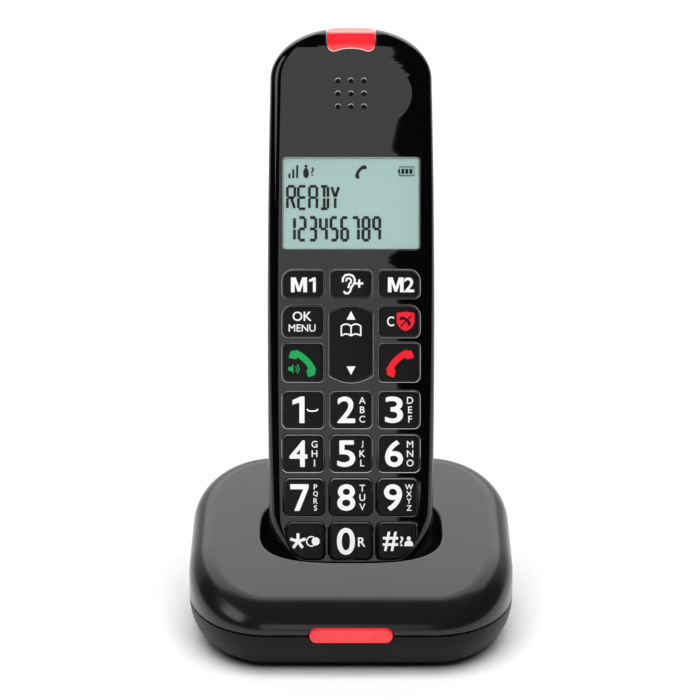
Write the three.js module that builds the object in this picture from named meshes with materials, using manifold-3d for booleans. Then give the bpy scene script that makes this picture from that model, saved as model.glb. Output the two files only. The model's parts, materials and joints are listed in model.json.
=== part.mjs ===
// Cordless telephone: a handset standing in its charging base.
// Units are millimetres, +Z is up and the front faces -Y. The base stands on its feet at z = 0.
// The handset is modelled in a frame of its own: X to the right, Z along its length from the
// lower end, its front on the -Y side and its middle plane at y = 0. That frame leans back.

import * as THREE from 'three';
import { mergeVertices } from 'three/addons/utils/BufferGeometryUtils.js';
import Module from 'manifold-3d';

const wasm = await Module();
wasm.setup();

// Clearances
const GAP = 0.3; // between fixed neighbours
const MOVING_GAP = 0.35; // round a piece that moves in its opening

// Attitude
const LEAN = THREE.MathUtils.degToRad(15.5); // of the handset, back from the vertical
const TOP_SLOPE = THREE.MathUtils.degToRad(15.5); // of the base's top, rising to the back

// Base casing
const BASE_WIDTH = 96;
const BASE_DEPTH = 80;
const BASE_MID_HEIGHT = 30;
const BASE_CORNER = { x: 24, back: 26, front: 33 };
const BASE_FILLET = 8;
const BASE_WALL = 2;
const BASE_SEAM = 12.2;
const BASE_UNDERSIDE = 1;
const BASE_TUCK = 8; // how much narrower the underside is, all round

// Pocket that takes the handset's lower end
const POCKET_SIDE_ROOM = 2.32;
const POCKET_FACE_ROOM = 1.9;
const POCKET_FLOOR_ROOM = 0.8;
const POCKET_DEPTH = 15; // along the handset, from its lower end to the middle of the mouth
const POCKET_SETBACK = -1; // of the middle of the mouth, in Y
const POCKET_SQUARENESS = 3;

// Feet and base screws
const FOOT = { radius: 4.5, height: 1.7, x: 33, y: 22 };
const BASE_SCREW = { head: 2.8, headHeight: 1.6, shank: 1.4, length: 12, inset: 11.6, y: 8 };
const BASE_BOSS_WALL = 1.9;

// Charging contacts
const CONTACT = { x: 8, width: 2, depth: 4, length: 7, proud: 0.5 };
const CHARGE_PLATE = { width: 3, depth: 6, height: 2.4, start: 0.8 };

// Base light, circuit board, sockets and page button
const BASE_LENS = { width: 23.7, height: 4.3, thickness: 2.8, proud: 0.3, roundness: 0.96 };
const BASE_BOARD = { halfWidth: 30, front: -30, edge: 5, bottom: 5, thickness: 1.6 };
const STANDOFF = { radius: 2, x: 24, y: 18 };
const SOCKET = { depth: 13.7, height: 11, recess: 0.8, wall: 1.6, back: 2.2 };
const POWER_SOCKET = { x: -18, width: 11.2 };
const LINE_SOCKET = { x: 18, width: 13.2 };
const PAGE_BUTTON = { radius: 4, height: 26, proud: 1.2, length: 4.5 };

// Handset casing
const HANDSET_LENGTH = 165.3;
const HANDSET_WIDTH = 49.3;
const HANDSET_THICKNESS = 24;
const HANDSET_WALL = 2;
const WAIST_HEIGHT = 78; // of the widest section
const WAIST_TAPER = 1.66e-4; // half-width lost per square millimetre away from it
const LOWER_END = { length: 20, edge: 6 };
const UPPER_END = { length: 15.8, edge: 7 };
const FRONT_EDGE = 3.6;
const BACK_EDGE = 9;
const EDGE_CURVE = 2.4;

// Keys, from the lower end upwards
const KEY_MARGIN = 4.65; // from the casing's side to the outer keys
const KEY_COLUMN_GAP = 2;
const KEY_RISE = 1.2;
const KEY_SHOULDER = 0.5; // how far a key reaches past the inside of the casing
const KEY_TRAVEL = 1;
const KEY_CORNER = 1.5;
const KEY_BEVEL = 0.4;
const DIGIT_ROW = { first: 12.55, pitch: 12.85, height: 10.7 };
const LOWER_ROW_INSET = [1.3, 0.6]; // how far the outer keys of the lowest two rows draw in
const LOWER_CORNER = 6.5;
const CALL_ROW = { centre: 65, height: 11.2 };
const MENU_ROW = { centre: 77, height: 9 };
const MEMORY_ROW = { centre: 87.9, height: 8 };
const UPPER_CORNER = 3;
const NAV_KEY = { centre: 70.35, width: 12.6, height: 22.3, arch: 2.2 };

// Display, earpiece and light at the handset's upper end
const WINDOW = { width: 40, height: 26.9, thickness: 1.2, corner: 0.8, aboveKeys: 10.2 };
const WINDOW_LEDGE = 2.2;
const EARPIECE = { fromTop: 20.5, pitch: 3.8, hole: 0.82 };
const EAR_DISH = { radius: 18, squash: 0.66, depth: 1.2 };
const LENS = { width: 14, height: 8, corner: 2.2, arch: 0.9, proud: 0.25 };

// Inside the handset
const MAT_THICKNESS = 1;
const BOARD_THICKNESS = 1.4;
const BOARD_EDGE = 1.1;
const BOARD_START = 4.4;
const BOARD_FROM_TOP = 12;
const SPEAKER_RADIUS = 10;
const MICROPHONE = { height: 5.5, radius: 1.6, forward: 0.6, hole: 0.8 };
const LOUDSPEAKER = { height: 112, radius: 9, thickness: 4, hole: 0.9, ring: 5 };
const ANTENNA = { width: 16, height: 9, thickness: 0.8, fromTop: 26 };
const HANDSET_SCREW = { x: 13, fromTop: 35.3, head: 2.6, headHeight: 1.8, shank: 1.3, length: 9 };
const HANDSET_BOSS_WALL = 1.4;

// Battery compartment
const CELL = { radius: 5.25, length: 44.5, nub: 1, nubRadius: 2.6, spacing: 0.7 };
const CELL_ROOM = 0.75;
const TRAY_START = 42;
const TRAY_WALL = 1.3;
const SPRING_ROOM = 5.2;
const TERMINAL = { thickness: 0.8, radius: 2.4 };
const DOOR_OVERLAP = 2;
const DOOR_LEDGE = 2;

// Values worked out from those above
const halfBaseWidth = BASE_WIDTH / 2;
const halfBaseDepth = BASE_DEPTH / 2;
const halfThickness = HANDSET_THICKNESS / 2;
const innerFront = -halfThickness + HANDSET_WALL;
const innerBack = halfThickness - HANDSET_WALL;
const keyBack = innerFront + KEY_SHOULDER;
const matFront = keyBack + KEY_TRAVEL + GAP;
const boardFront = matFront + MAT_THICKNESS + GAP;
const boardBack = boardFront + BOARD_THICKNESS;
const plateReach = HANDSET_WIDTH / 2 - KEY_MARGIN;
const keyWidth = (2 * plateReach - 2 * KEY_COLUMN_GAP) / 3;
const columnPitch = keyWidth + KEY_COLUMN_GAP;
const windowCentre = MEMORY_ROW.centre + WINDOW.aboveKeys + WINDOW.height / 2;
const earCentre = HANDSET_LENGTH - EARPIECE.fromTop;
const screwHeight = HANDSET_LENGTH - HANDSET_SCREW.fromTop;
const cellCentre = innerBack - CELL_ROOM - CELL.radius;
const trayFloor = cellCentre - CELL.radius - GAP;
const trayEnd = TRAY_START + CELL.length + CELL.nub + SPRING_ROOM + TERMINAL.thickness + 2 * GAP;
const trayReach = 2 * CELL.radius + CELL.spacing / 2 + GAP;
const doorReach = trayReach + DOOR_OVERLAP;
const overTheEdge = 10; // how far a cutter runs past what it cuts

// ---- Solids ----

const WELD = 1e-4;

// A closed three.js geometry as a solid whose faces point outwards.
function solidOf(geometry) {
  const bare = new THREE.BufferGeometry();
  bare.setAttribute('position', geometry.getAttribute('position').clone());
  bare.setIndex(geometry.index);
  const merged = mergeVertices(bare, WELD);
  const points = merged.getAttribute('position');
  const corners = [0, 1, 2].map(() => new THREE.Vector3());
  const triangles = [];
  let volume = 0;
  for (let i = 0; i < merged.index.count; i += 3) {
    const triangle = [0, 1, 2].map((k) => merged.index.getX(i + k));
    if (new Set(triangle).size === 3) {
      triangle.forEach((vertex, k) => corners[k].fromBufferAttribute(points, vertex));
      volume += corners[0].dot(corners[1].clone().cross(corners[2]));
      triangles.push(...triangle);
    }
  }
  if (volume < 0) triangles.reverse();
  const vertProperties = Float32Array.from(points.array);
  const triVerts = Uint32Array.from(triangles);
  return new wasm.Manifold(new wasm.Mesh({ numProp: 3, vertProperties, triVerts }));
}

function geometryOf(solid) {
  const { vertProperties, triVerts } = solid.getMesh();
  const geometry = new THREE.BufferGeometry();
  geometry.setAttribute('position', new THREE.BufferAttribute(vertProperties, 3));
  geometry.setIndex(new THREE.BufferAttribute(triVerts, 1));
  return geometry;
}

function joined(solids) {
  return solids.reduce((whole, solid) => whole.add(solid));
}

function cutBy(solid, cutters) {
  return cutters.reduce((left, cutter) => left.subtract(cutter), solid);
}

function block([x0, x1], [y0, y1], [z0, z1]) {
  const geometry = new THREE.BoxGeometry(x1 - x0, y1 - y0, z1 - z0);
  return solidOf(geometry.translate((x0 + x1) / 2, (y0 + y1) / 2, (z0 + z1) / 2));
}

function upright(radius, x, y, [z0, z1], sides = 16) {
  const geometry = new THREE.CylinderGeometry(radius, radius, z1 - z0, sides);
  return solidOf(geometry.rotateX(Math.PI / 2).translate(x, y, (z0 + z1) / 2));
}

function level(radius, x, [y0, y1], z, sides = 16) {
  const geometry = new THREE.CylinderGeometry(radius, radius, y1 - y0, sides);
  return solidOf(geometry.translate(x, (y0 + y1) / 2, z));
}

// An outline drawn in X and Z, carried along Y.
function slabGeometry(shape, [y0, y1], curveSegments = 4) {
  const options = { depth: y1 - y0, bevelEnabled: false, curveSegments };
  return new THREE.ExtrudeGeometry(shape, options).rotateX(Math.PI / 2).translate(0, y1, 0);
}

function slab(shape, span, curveSegments) {
  return solidOf(slabGeometry(shape, span, curveSegments));
}

// A skin over rings of equal length, closed by a fan to a point at each end.
function loft(rings, firstPoint, lastPoint) {
  const count = rings[0].length;
  const positions = [...rings.flat(), firstPoint, lastPoint];
  const first = positions.length - 2;
  const last = positions.length - 1;
  const top = (rings.length - 1) * count;
  const triangles = [];
  for (let i = 0; i < count; i += 1) {
    const next = (i + 1) % count;
    triangles.push(first, next, i, last, top + i, top + next);
    for (let row = 0; row < top; row += count) {
      triangles.push(row + i, row + next, row + count + next);
      triangles.push(row + i, row + count + next, row + count + i);
    }
  }
  const geometry = new THREE.BufferGeometry().setFromPoints(positions);
  geometry.setIndex(triangles);
  return solidOf(geometry);
}

// ---- Outlines ----

// A rectangle about the origin; the radii run clockwise from the upper right corner.
function roundedRectangle(width, height, radii) {
  const [upperRight, lowerRight, lowerLeft, upperLeft] = radii;
  const x = width / 2;
  const z = height / 2;
  const quarter = Math.PI / 2;
  const shape = new THREE.Shape();
  shape.absarc(x - upperRight, z - upperRight, upperRight, 0, quarter);
  shape.absarc(upperLeft - x, z - upperLeft, upperLeft, quarter, 2 * quarter);
  shape.absarc(lowerLeft - x, lowerLeft - z, lowerLeft, 2 * quarter, 3 * quarter);
  shape.absarc(x - lowerRight, lowerRight - z, lowerRight, 3 * quarter, 4 * quarter);
  return shape;
}

// The rocker's outline: straight sides and arched ends.
function archedOutline(width, height, arch) {
  const x = width / 2;
  const z = height / 2;
  const shape = new THREE.Shape();
  shape.moveTo(-x, arch - z);
  shape.quadraticCurveTo(0, -z - arch, x, arch - z);
  shape.lineTo(x, z - arch);
  shape.quadraticCurveTo(0, z + arch, -x, z - arch);
  return shape;
}

function moved(shape, x, z) {
  const points = shape.getPoints(2).map((point) => point.add(new THREE.Vector2(x, z)));
  return new THREE.Shape(points);
}

// ---- Handset body ----

// One where the end's curve is over, falling to nothing at the end itself.
function endRound(fromEnd, length, power) {
  const t = Math.min(Math.max(fromEnd / length, 0), 1);
  return (1 - (1 - t) ** power) ** (1 / power);
}

function handsetHalfWidth(height) {
  const belly = HANDSET_WIDTH / 2 - WAIST_TAPER * (height - WAIST_HEIGHT) ** 2;
  const lower = endRound(height, LOWER_END.length, 2);
  const upper = endRound(HANDSET_LENGTH - height, UPPER_END.length, 2);
  return belly * Math.min(lower, upper);
}

function handsetHalfDepth(height) {
  const lower = endRound(height, LOWER_END.edge, EDGE_CURVE);
  const upper = endRound(HANDSET_LENGTH - height, UPPER_END.edge, EDGE_CURVE);
  return halfThickness * Math.min(lower, upper);
}

// Heights at which the body has a section, close together towards both ends.
function handsetStations() {
  const lowerSteps = 7;
  const upperSteps = 6;
  const stations = [];
  for (let i = 1; i <= lowerSteps; i += 1) {
    stations.push(LOWER_END.length * (i / lowerSteps) ** 2);
  }
  const upperStart = HANDSET_LENGTH - UPPER_END.length;
  stations.push(WAIST_HEIGHT / 2, WAIST_HEIGHT, (WAIST_HEIGHT + upperStart) / 2);
  for (let i = upperSteps; i >= 1; i -= 1) {
    stations.push(HANDSET_LENGTH - UPPER_END.length * (i / upperSteps) ** 2);
  }
  return stations;
}

// One section of the body, drawn in by an inset, counter-clockwise seen from above.
function handsetSection(height, inset) {
  const steps = 3;
  const width = Math.max(handsetHalfWidth(height) - inset, 0.2);
  const depth = Math.max(handsetHalfDepth(height) - inset, 0.2);
  const room = 0.9 * Math.min(width, depth);
  const frontRadius = Math.min(FRONT_EDGE - Math.min(inset, FRONT_EDGE / 2), room);
  const backRadius = Math.min(BACK_EDGE - inset, room);
  const corners = [
    [1, -1, frontRadius, -90],
    [1, 1, backRadius, 0],
    [-1, 1, backRadius, 90],
    [-1, -1, frontRadius, 180],
  ];
  return corners.flatMap(([sideX, sideY, radius, start]) => {
    const points = [];
    for (let i = 0; i <= steps; i += 1) {
      const angle = THREE.MathUtils.degToRad(start + (90 * i) / steps);
      const x = sideX * (width - radius) + radius * Math.cos(angle);
      const y = sideY * (depth - radius) + radius * Math.sin(angle);
      points.push(new THREE.Vector3(x, y, height));
    }
    return points;
  });
}

function handsetBody(inset) {
  const stations = handsetStations().filter((height) => {
    const fromEnd = Math.min(height, HANDSET_LENGTH - height);
    return inset <= 0 || fromEnd > inset;
  });
  const rings = stations.map((height) => handsetSection(height, inset));
  const lowest = inset > 0 ? stations[0] - GAP : inset;
  const highest = inset > 0 ? stations.at(-1) + GAP : HANDSET_LENGTH - inset;
  return loft(rings, new THREE.Vector3(0, 0, lowest), new THREE.Vector3(0, 0, highest));
}

// The body's outline in the front view between two heights, drawn in by an inset.
function outlineBand(inset, [start, end]) {
  const steps = 14;
  const right = [];
  const left = [];
  for (let i = 0; i <= steps; i += 1) {
    const height = start + ((end - start) * i) / steps;
    const reach = handsetHalfWidth(height) - inset;
    right.push(new THREE.Vector2(reach, height));
    left.unshift(new THREE.Vector2(-reach, height));
  }
  return new THREE.Shape([...right, ...left]);
}

// ---- Base body ----

function topAt(y) {
  return BASE_MID_HEIGHT + y * Math.tan(TOP_SLOPE);
}

// The base's plan outline drawn in by an inset, with the height given by a function of y.
function baseRing(inset, heightAt) {
  const steps = 5;
  const reach = { x: halfBaseWidth - inset, y: halfBaseDepth - inset };
  const ring = [];
  for (let corner = 0; corner < 4; corner += 1) {
    const sideX = corner === 0 || corner === 3 ? 1 : -1;
    const sideY = corner < 2 ? 1 : -1;
    const lengthways = sideY > 0 ? BASE_CORNER.back : BASE_CORNER.front;
    const radius = { x: BASE_CORNER.x - inset, y: lengthways - inset };
    for (let i = 0; i <= steps; i += 1) {
      const angle = (corner + i / steps) * (Math.PI / 2);
      const x = sideX * (reach.x - radius.x) + radius.x * Math.cos(angle);
      const y = sideY * (reach.y - radius.y) + radius.y * Math.sin(angle);
      ring.push(new THREE.Vector3(x, y, heightAt(y)));
    }
  }
  return ring;
}

// The upper casing's skin at a depth below its surface, from a height up to the top.
// The fillet is flatter where the wall under it is low.
function upperBody(depth, from) {
  const steps = 4;
  const fillet = BASE_FILLET - depth;
  const drop = depth / Math.cos(TOP_SLOPE);
  const rings = [baseRing(depth, () => from)];
  for (let i = 0; i <= steps; i += 1) {
    const angle = (i / steps) * (Math.PI / 2);
    const inset = depth + fillet * (1 - Math.cos(angle));
    const heightAt = (y) => {
      const top = topAt(y) - drop;
      return top - Math.min(fillet, top - from - GAP) * (1 - Math.sin(angle));
    };
    rings.push(baseRing(inset, heightAt));
  }
  const crown = new THREE.Vector3(0, 0, topAt(0) - drop);
  return loft(rings, new THREE.Vector3(0, 0, from), crown);
}

// The lower casing's skin at a depth inside its surface, from a floor up to a height.
function lowerBody(depth, floor, to) {
  const steps = 4;
  const rings = [];
  for (let i = 0; i <= steps; i += 1) {
    const height = floor + ((BASE_SEAM - floor) * i) / steps;
    const down = Math.min((BASE_SEAM - height) / (BASE_SEAM - BASE_UNDERSIDE), 1);
    const tuck = BASE_TUCK * (1 - Math.sqrt(1 - down ** 2));
    const level = i === steps ? to : height;
    rings.push(baseRing(depth + tuck, () => level));
  }
  return loft(rings, new THREE.Vector3(0, 0, floor), new THREE.Vector3(0, 0, to));
}

// The handset's frame, placed so that its lower end stands in the pocket.
const handset = new THREE.Group();
handset.rotation.x = -LEAN;
handset.position.set(
  0,
  POCKET_SETBACK - POCKET_DEPTH * Math.sin(LEAN),
  topAt(POCKET_SETBACK) - POCKET_DEPTH * Math.cos(LEAN),
);
handset.updateMatrix();

// A solid drawn in the handset's frame, as seen from the base's frame.
function inBase(solid) {
  return solid.transform(handset.matrix.elements);
}

// The pocket: its sections turn from square across the handset to level with the mouth.
function pocket(wall, above) {
  const sides = 28;
  const levels = [0.03, 0.12, 0.28, 0.5, 0.75, 1];
  const mouthTilt = LEAN + TOP_SLOPE;
  const mouthDepth = halfThickness + POCKET_FACE_ROOM;
  const mouthWidth = HANDSET_WIDTH / 2 + POCKET_SIDE_ROOM;
  const travel = POCKET_DEPTH + POCKET_FLOOR_ROOM;
  const power = 2 / POCKET_SQUARENESS;
  const rings = levels.map((level) => {
    const width = mouthWidth * endRound(level, 1, 2.2) + wall;
    const depth = mouthDepth * endRound(level, 1, 4) + wall;
    const tilt = mouthTilt * level;
    const centre = level * travel - POCKET_FLOOR_ROOM - wall * (1 - level);
    const ring = [];
    for (let i = 0; i < sides; i += 1) {
      const angle = (i / sides) * 2 * Math.PI;
      const across = Math.sign(Math.cos(angle)) * Math.abs(Math.cos(angle)) ** power;
      const along = Math.sign(Math.sin(angle)) * Math.abs(Math.sin(angle)) ** power;
      const y = depth * along;
      ring.push(new THREE.Vector3(width * across, y, centre + y * Math.tan(tilt)));
    }
    return ring;
  });
  const rise = new THREE.Vector3(0, -Math.sin(mouthTilt), Math.cos(mouthTilt));
  const mouth = rings.at(-1).map((point) => point.clone().addScaledVector(rise, above));
  const lowest = new THREE.Vector3(0, 0, -POCKET_FLOOR_ROOM - wall);
  const highest = new THREE.Vector3(0, 0, POCKET_DEPTH).addScaledVector(rise, above);
  return inBase(loft([...rings, mouth], lowest, highest));
}

// ---- Pieces ----

const basePieces = new THREE.Group();

function addPiece(group, name, geometry, finish) {
  const piece = new THREE.Mesh(geometry, new THREE.MeshStandardMaterial(finish));
  piece.name = name;
  group.add(piece);
  return piece;
}

const FINISHES = {
  glossBlack: { color: 0x101113, roughness: 0.12, metalness: 0 },
  satinBlack: { color: 0x1a1a1b, roughness: 0.45, metalness: 0 },
  keyBlack: { color: 0x151517, roughness: 0.4, metalness: 0 },
  clear: { color: 0xa9c2be, roughness: 0.08, metalness: 0 },
  redLens: { color: 0xb3121a, roughness: 0.15, metalness: 0 },
  rubber: { color: 0x222222, roughness: 0.9, metalness: 0 },
  board: { color: 0x1f5a34, roughness: 0.5, metalness: 0 },
  steel: { color: 0xb8bbc0, roughness: 0.3, metalness: 1 },
  gold: { color: 0xd8b25a, roughness: 0.25, metalness: 1 },
  cellWrap: { color: 0x3f7f58, roughness: 0.35, metalness: 0 },
  displayFrame: { color: 0xd9dcd6, roughness: 0.5, metalness: 0 },
};

const bothSides = [-1, 1];
const sideName = (side) => (side < 0 ? 'left' : 'right');

// Base sockets: a body open at the back, with a slot under the opening for the latch.
function socketSpans({ x, width }) {
  const front = halfBaseDepth - SOCKET.recess - SOCKET.depth;
  const bottom = BASE_BOARD.bottom + BASE_BOARD.thickness + GAP;
  return {
    x: [x - width / 2, x + width / 2],
    y: [front, halfBaseDepth - SOCKET.recess],
    z: [bottom, bottom + SOCKET.height],
  };
}

function grownBlock({ x, y, z }, amount) {
  const grown = (span) => [span[0] - amount, span[1] + amount];
  return block(grown(x), [y[0] - amount, y[1] + overTheEdge], grown(z));
}

function socket(spans) {
  const inside = {
    x: [spans.x[0] + SOCKET.wall, spans.x[1] - SOCKET.wall],
    y: [spans.y[0] + SOCKET.back, spans.y[1] + overTheEdge],
    z: [spans.z[0] + SOCKET.wall, spans.z[1] - SOCKET.wall],
  };
  return block(spans.x, spans.y, spans.z).subtract(block(inside.x, inside.y, inside.z));
}

const sockets = { power_socket: socketSpans(POWER_SOCKET), line_socket: socketSpans(LINE_SOCKET) };
const socketCuts = Object.values(sockets).map((spans) => grownBlock(spans, GAP));

const lensCorner = (grow) => Array(4).fill((BASE_LENS.height / 2 + grow) * BASE_LENS.roundness);
const lensOutline = (grow) => {
  const outline = roundedRectangle(
    BASE_LENS.width + 2 * grow,
    BASE_LENS.height + 2 * grow,
    lensCorner(grow),
  );
  return moved(outline, 0, BASE_SEAM);
};
const lensFront = -halfBaseDepth - BASE_LENS.proud;
const lensSpan = [lensFront, lensFront + BASE_LENS.thickness];
const lensCut = slab(lensOutline(GAP), [lensFront - overTheEdge, lensSpan[1] + GAP]);

const screwPlaces = bothSides.flatMap((sideX) =>
  bothSides.map((sideY) => ({
    x: sideX * (halfBaseWidth - BASE_SCREW.inset),
    y: sideY * BASE_SCREW.y,
  })),
);
const screwTop = BASE_UNDERSIDE + BASE_WALL + BASE_SCREW.headHeight;
const bossBottom = screwTop + GAP + BASE_WALL;
const bossRadius = BASE_SCREW.shank + GAP + BASE_BOSS_WALL;

function contactSpans(side, grow) {
  const x = side * CONTACT.x;
  return [
    [x - CONTACT.width / 2 - grow, x + CONTACT.width / 2 + grow],
    [-CONTACT.depth / 2 - grow, CONTACT.depth / 2 + grow],
    [CONTACT.proud - CONTACT.length, CONTACT.proud],
  ];
}

function baseTopShell() {
  const skin = upperBody(0, BASE_SEAM + GAP / 2);
  const hollow = upperBody(BASE_WALL, BASE_SEAM - overTheEdge);
  const bosses = screwPlaces.map(({ x, y }) => {
    const column = upright(bossRadius, x, y, [bossBottom, topAt(y)], 12);
    return column.intersect(upperBody(BASE_WALL / 2, BASE_SEAM - overTheEdge));
  });
  const holeTop = screwTop - BASE_SCREW.headHeight + BASE_SCREW.length + GAP;
  const bossHoles = screwPlaces.map(({ x, y }) =>
    upright(BASE_SCREW.shank + GAP, x, y, [0, holeTop], 12),
  );
  const cup = pocket(BASE_WALL, -BASE_WALL / 2);
  const slots = bothSides.map((side) => inBase(block(...contactSpans(side, MOVING_GAP))));
  const buttonHole = level(
    PAGE_BUTTON.radius + MOVING_GAP,
    0,
    [halfBaseDepth - PAGE_BUTTON.length - overTheEdge, halfBaseDepth + overTheEdge],
    PAGE_BUTTON.height,
    20,
  );
  const walls = joined([skin.subtract(hollow), cup, ...bosses]);
  const cutters = [pocket(0, overTheEdge), ...bossHoles, ...slots, ...socketCuts, lensCut];
  return cutBy(walls, [...cutters, buttonHole]);
}

function baseBottomShell() {
  const rim = BASE_SEAM - GAP / 2;
  const floor = BASE_UNDERSIDE + BASE_WALL;
  const skin = lowerBody(0, BASE_UNDERSIDE, rim);
  const hollow = lowerBody(BASE_WALL, floor, rim + overTheEdge);
  const headRadius = BASE_SCREW.head + GAP;
  const posts = screwPlaces.map(({ x, y }) =>
    upright(headRadius + BASE_WALL / 2, x, y, [BASE_UNDERSIDE, bossBottom - GAP], 16),
  );
  const standoffs = bothSides.flatMap((sideX) =>
    bothSides.map((sideY) =>
      upright(
        STANDOFF.radius,
        sideX * STANDOFF.x,
        sideY * STANDOFF.y,
        [BASE_UNDERSIDE, BASE_BOARD.bottom - GAP],
        10,
      ),
    ),
  );
  const counterbores = screwPlaces.map(({ x, y }) => upright(headRadius, x, y, [0, screwTop + GAP]));
  const shankHoles = screwPlaces.map(({ x, y }) =>
    upright(BASE_SCREW.shank + GAP, x, y, [0, BASE_SEAM], 12),
  );
  const footRecesses = footPlaces().map(({ x, y }) =>
    upright(FOOT.radius + GAP, x, y, [0, FOOT.height + GAP], 20),
  );
  const walls = joined([skin.subtract(hollow), ...posts, ...standoffs]);
  const cutters = [...counterbores, ...shankHoles, ...footRecesses, ...socketCuts, lensCut];
  return cutBy(walls, cutters);
}

function footPlaces() {
  return bothSides.flatMap((sideX) =>
    bothSides.map((sideY) => ({ x: sideX * FOOT.x, y: sideY * FOOT.y })),
  );
}

// A round part on the Z axis from a profile of [radius, height] points.
function turned(profile, sides) {
  const points = profile.map(([radius, height]) => new THREE.Vector2(radius, height));
  return geometryOf(solidOf(new THREE.LatheGeometry(points, sides).rotateX(Math.PI / 2)));
}

// A screw with its head at the bottom and its point upwards.
function screwGeometry({ head, headHeight, shank, length }) {
  const point = shank * 0.6;
  const profile = [
    [0, 0],
    [head * 0.85, 0],
    [head, headHeight * 0.4],
    [head, headHeight],
    [shank, headHeight],
    [shank, length - point],
    [shank * 0.3, length],
    [0, length],
  ];
  return turned(profile, 10);
}

function boardInBase() {
  const { halfWidth, front, edge, bottom, thickness } = BASE_BOARD;
  return block([-halfWidth, halfWidth], [front, halfBaseDepth - edge], [bottom, bottom + thickness]);
}

addPiece(basePieces, 'base_top_shell', geometryOf(baseTopShell()), FINISHES.glossBlack);
addPiece(basePieces, 'base_bottom_shell', geometryOf(baseBottomShell()), FINISHES.satinBlack);
addPiece(basePieces, 'base_light_lens', slabGeometry(lensOutline(0), lensSpan), FINISHES.redLens);
addPiece(basePieces, 'base_circuit_board', geometryOf(boardInBase()), FINISHES.board);
for (const [name, spans] of Object.entries(sockets)) {
  addPiece(basePieces, name, geometryOf(socket(spans)), FINISHES.satinBlack);
}

footPlaces().forEach(({ x, y }, i) => {
  const { radius, height } = FOOT;
  const profile = [[0, 0], [radius * 0.9, 0], [radius, height * 0.3], [radius, height], [0, height]];
  const foot = addPiece(basePieces, `base_foot_${i + 1}`, turned(profile, 20), FINISHES.rubber);
  foot.position.set(x, y, 0);
});

screwPlaces.forEach(({ x, y }, i) => {
  const screw = addPiece(
    basePieces,
    `base_screw_${i + 1}`,
    screwGeometry(BASE_SCREW),
    FINISHES.steel,
  );
  screw.position.set(x, y, screwTop - BASE_SCREW.headHeight);
});

function pageButtonGeometry() {
  const { radius, proud, length } = PAGE_BUTTON;
  const profile = [
    [0, proud - length],
    [radius, proud - length],
    [radius, proud * 0.5],
    [radius * 0.85, proud],
    [0, proud],
  ];
  return turned(profile, 20).rotateX(-Math.PI / 2);
}

const pageButton = addPiece(basePieces, 'page_button', pageButtonGeometry(), FINISHES.satinBlack);
pageButton.position.set(0, halfBaseDepth, PAGE_BUTTON.height);

// ---- Keys ----

// One key: its place in the front view and its outline, grown by a clearance when asked.
function keyEntry(row, name, column) {
  const inner = column === 0 ? -keyWidth / 2 : keyWidth / 2 + KEY_COLUMN_GAP;
  const outer = column === 0 ? keyWidth / 2 : plateReach - row.inset;
  const middle = (inner + outer) / 2;
  const upper = row.upperCorner;
  const lower = row.lowerCorner;
  const radii = {
    '-1': [KEY_CORNER, KEY_CORNER, lower, upper],
    0: Array(4).fill(KEY_CORNER),
    1: [upper, lower, KEY_CORNER, KEY_CORNER],
  }[column];
  const outline = (grow) => {
    const corners = radii.map((radius) => radius + grow);
    return roundedRectangle(outer - inner + 2 * grow, row.height + 2 * grow, corners);
  };
  return { name, x: column < 0 ? -middle : middle, height: row.centre, outline };
}

function keyPlan() {
  const plain = { inset: 0, lowerCorner: KEY_CORNER, upperCorner: KEY_CORNER };
  const digitRows = [
    ['key_star', 'key_0', 'key_hash'],
    ['key_7', 'key_8', 'key_9'],
    ['key_4', 'key_5', 'key_6'],
    ['key_1', 'key_2', 'key_3'],
  ].map((names, row) => ({
    ...plain,
    names,
    centre: DIGIT_ROW.first + row * DIGIT_ROW.pitch,
    height: DIGIT_ROW.height,
    inset: LOWER_ROW_INSET[row] ?? 0,
    lowerCorner: row === 0 ? LOWER_CORNER : KEY_CORNER,
  }));
  const rows = [
    ...digitRows,
    { ...plain, ...CALL_ROW, names: ['key_call', null, 'key_end'] },
    { ...plain, ...MENU_ROW, names: ['key_ok_menu', null, 'key_c'], upperCorner: UPPER_CORNER },
    {
      ...plain,
      ...MEMORY_ROW,
      names: ['key_m1', 'key_volume', 'key_m2'],
      upperCorner: UPPER_CORNER,
    },
  ];
  const keys = rows.flatMap((row) =>
    row.names.map((name, column) => keyEntry(row, name, column - 1)).filter((key) => key.name),
  );
  const { centre, width, height, arch } = NAV_KEY;
  const navOutline = (grow) => archedOutline(width + 2 * grow, height + 2 * grow, arch);
  return [...keys, { name: 'key_nav', x: 0, height: centre, outline: navOutline }];
}

const keys = keyPlan();

function keyGeometry(key) {
  const rise = KEY_RISE + halfThickness + keyBack;
  const options = {
    depth: rise - 2 * KEY_BEVEL,
    bevelThickness: KEY_BEVEL,
    bevelSize: KEY_BEVEL,
    bevelOffset: -KEY_BEVEL,
    bevelSegments: 1,
    curveSegments: 2,
  };
  const geometry = new THREE.ExtrudeGeometry(key.outline(0), options).rotateX(Math.PI / 2);
  return geometry.translate(0, rise - KEY_RISE - KEY_BEVEL, 0);
}

// ---- Handset casing ----

const windowOutline = (grow) => {
  const corners = Array(4).fill(Math.max(WINDOW.corner + grow, GAP));
  return moved(
    roundedRectangle(WINDOW.width + 2 * grow, WINDOW.height + 2 * grow, corners),
    0,
    windowCentre,
  );
};

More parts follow.
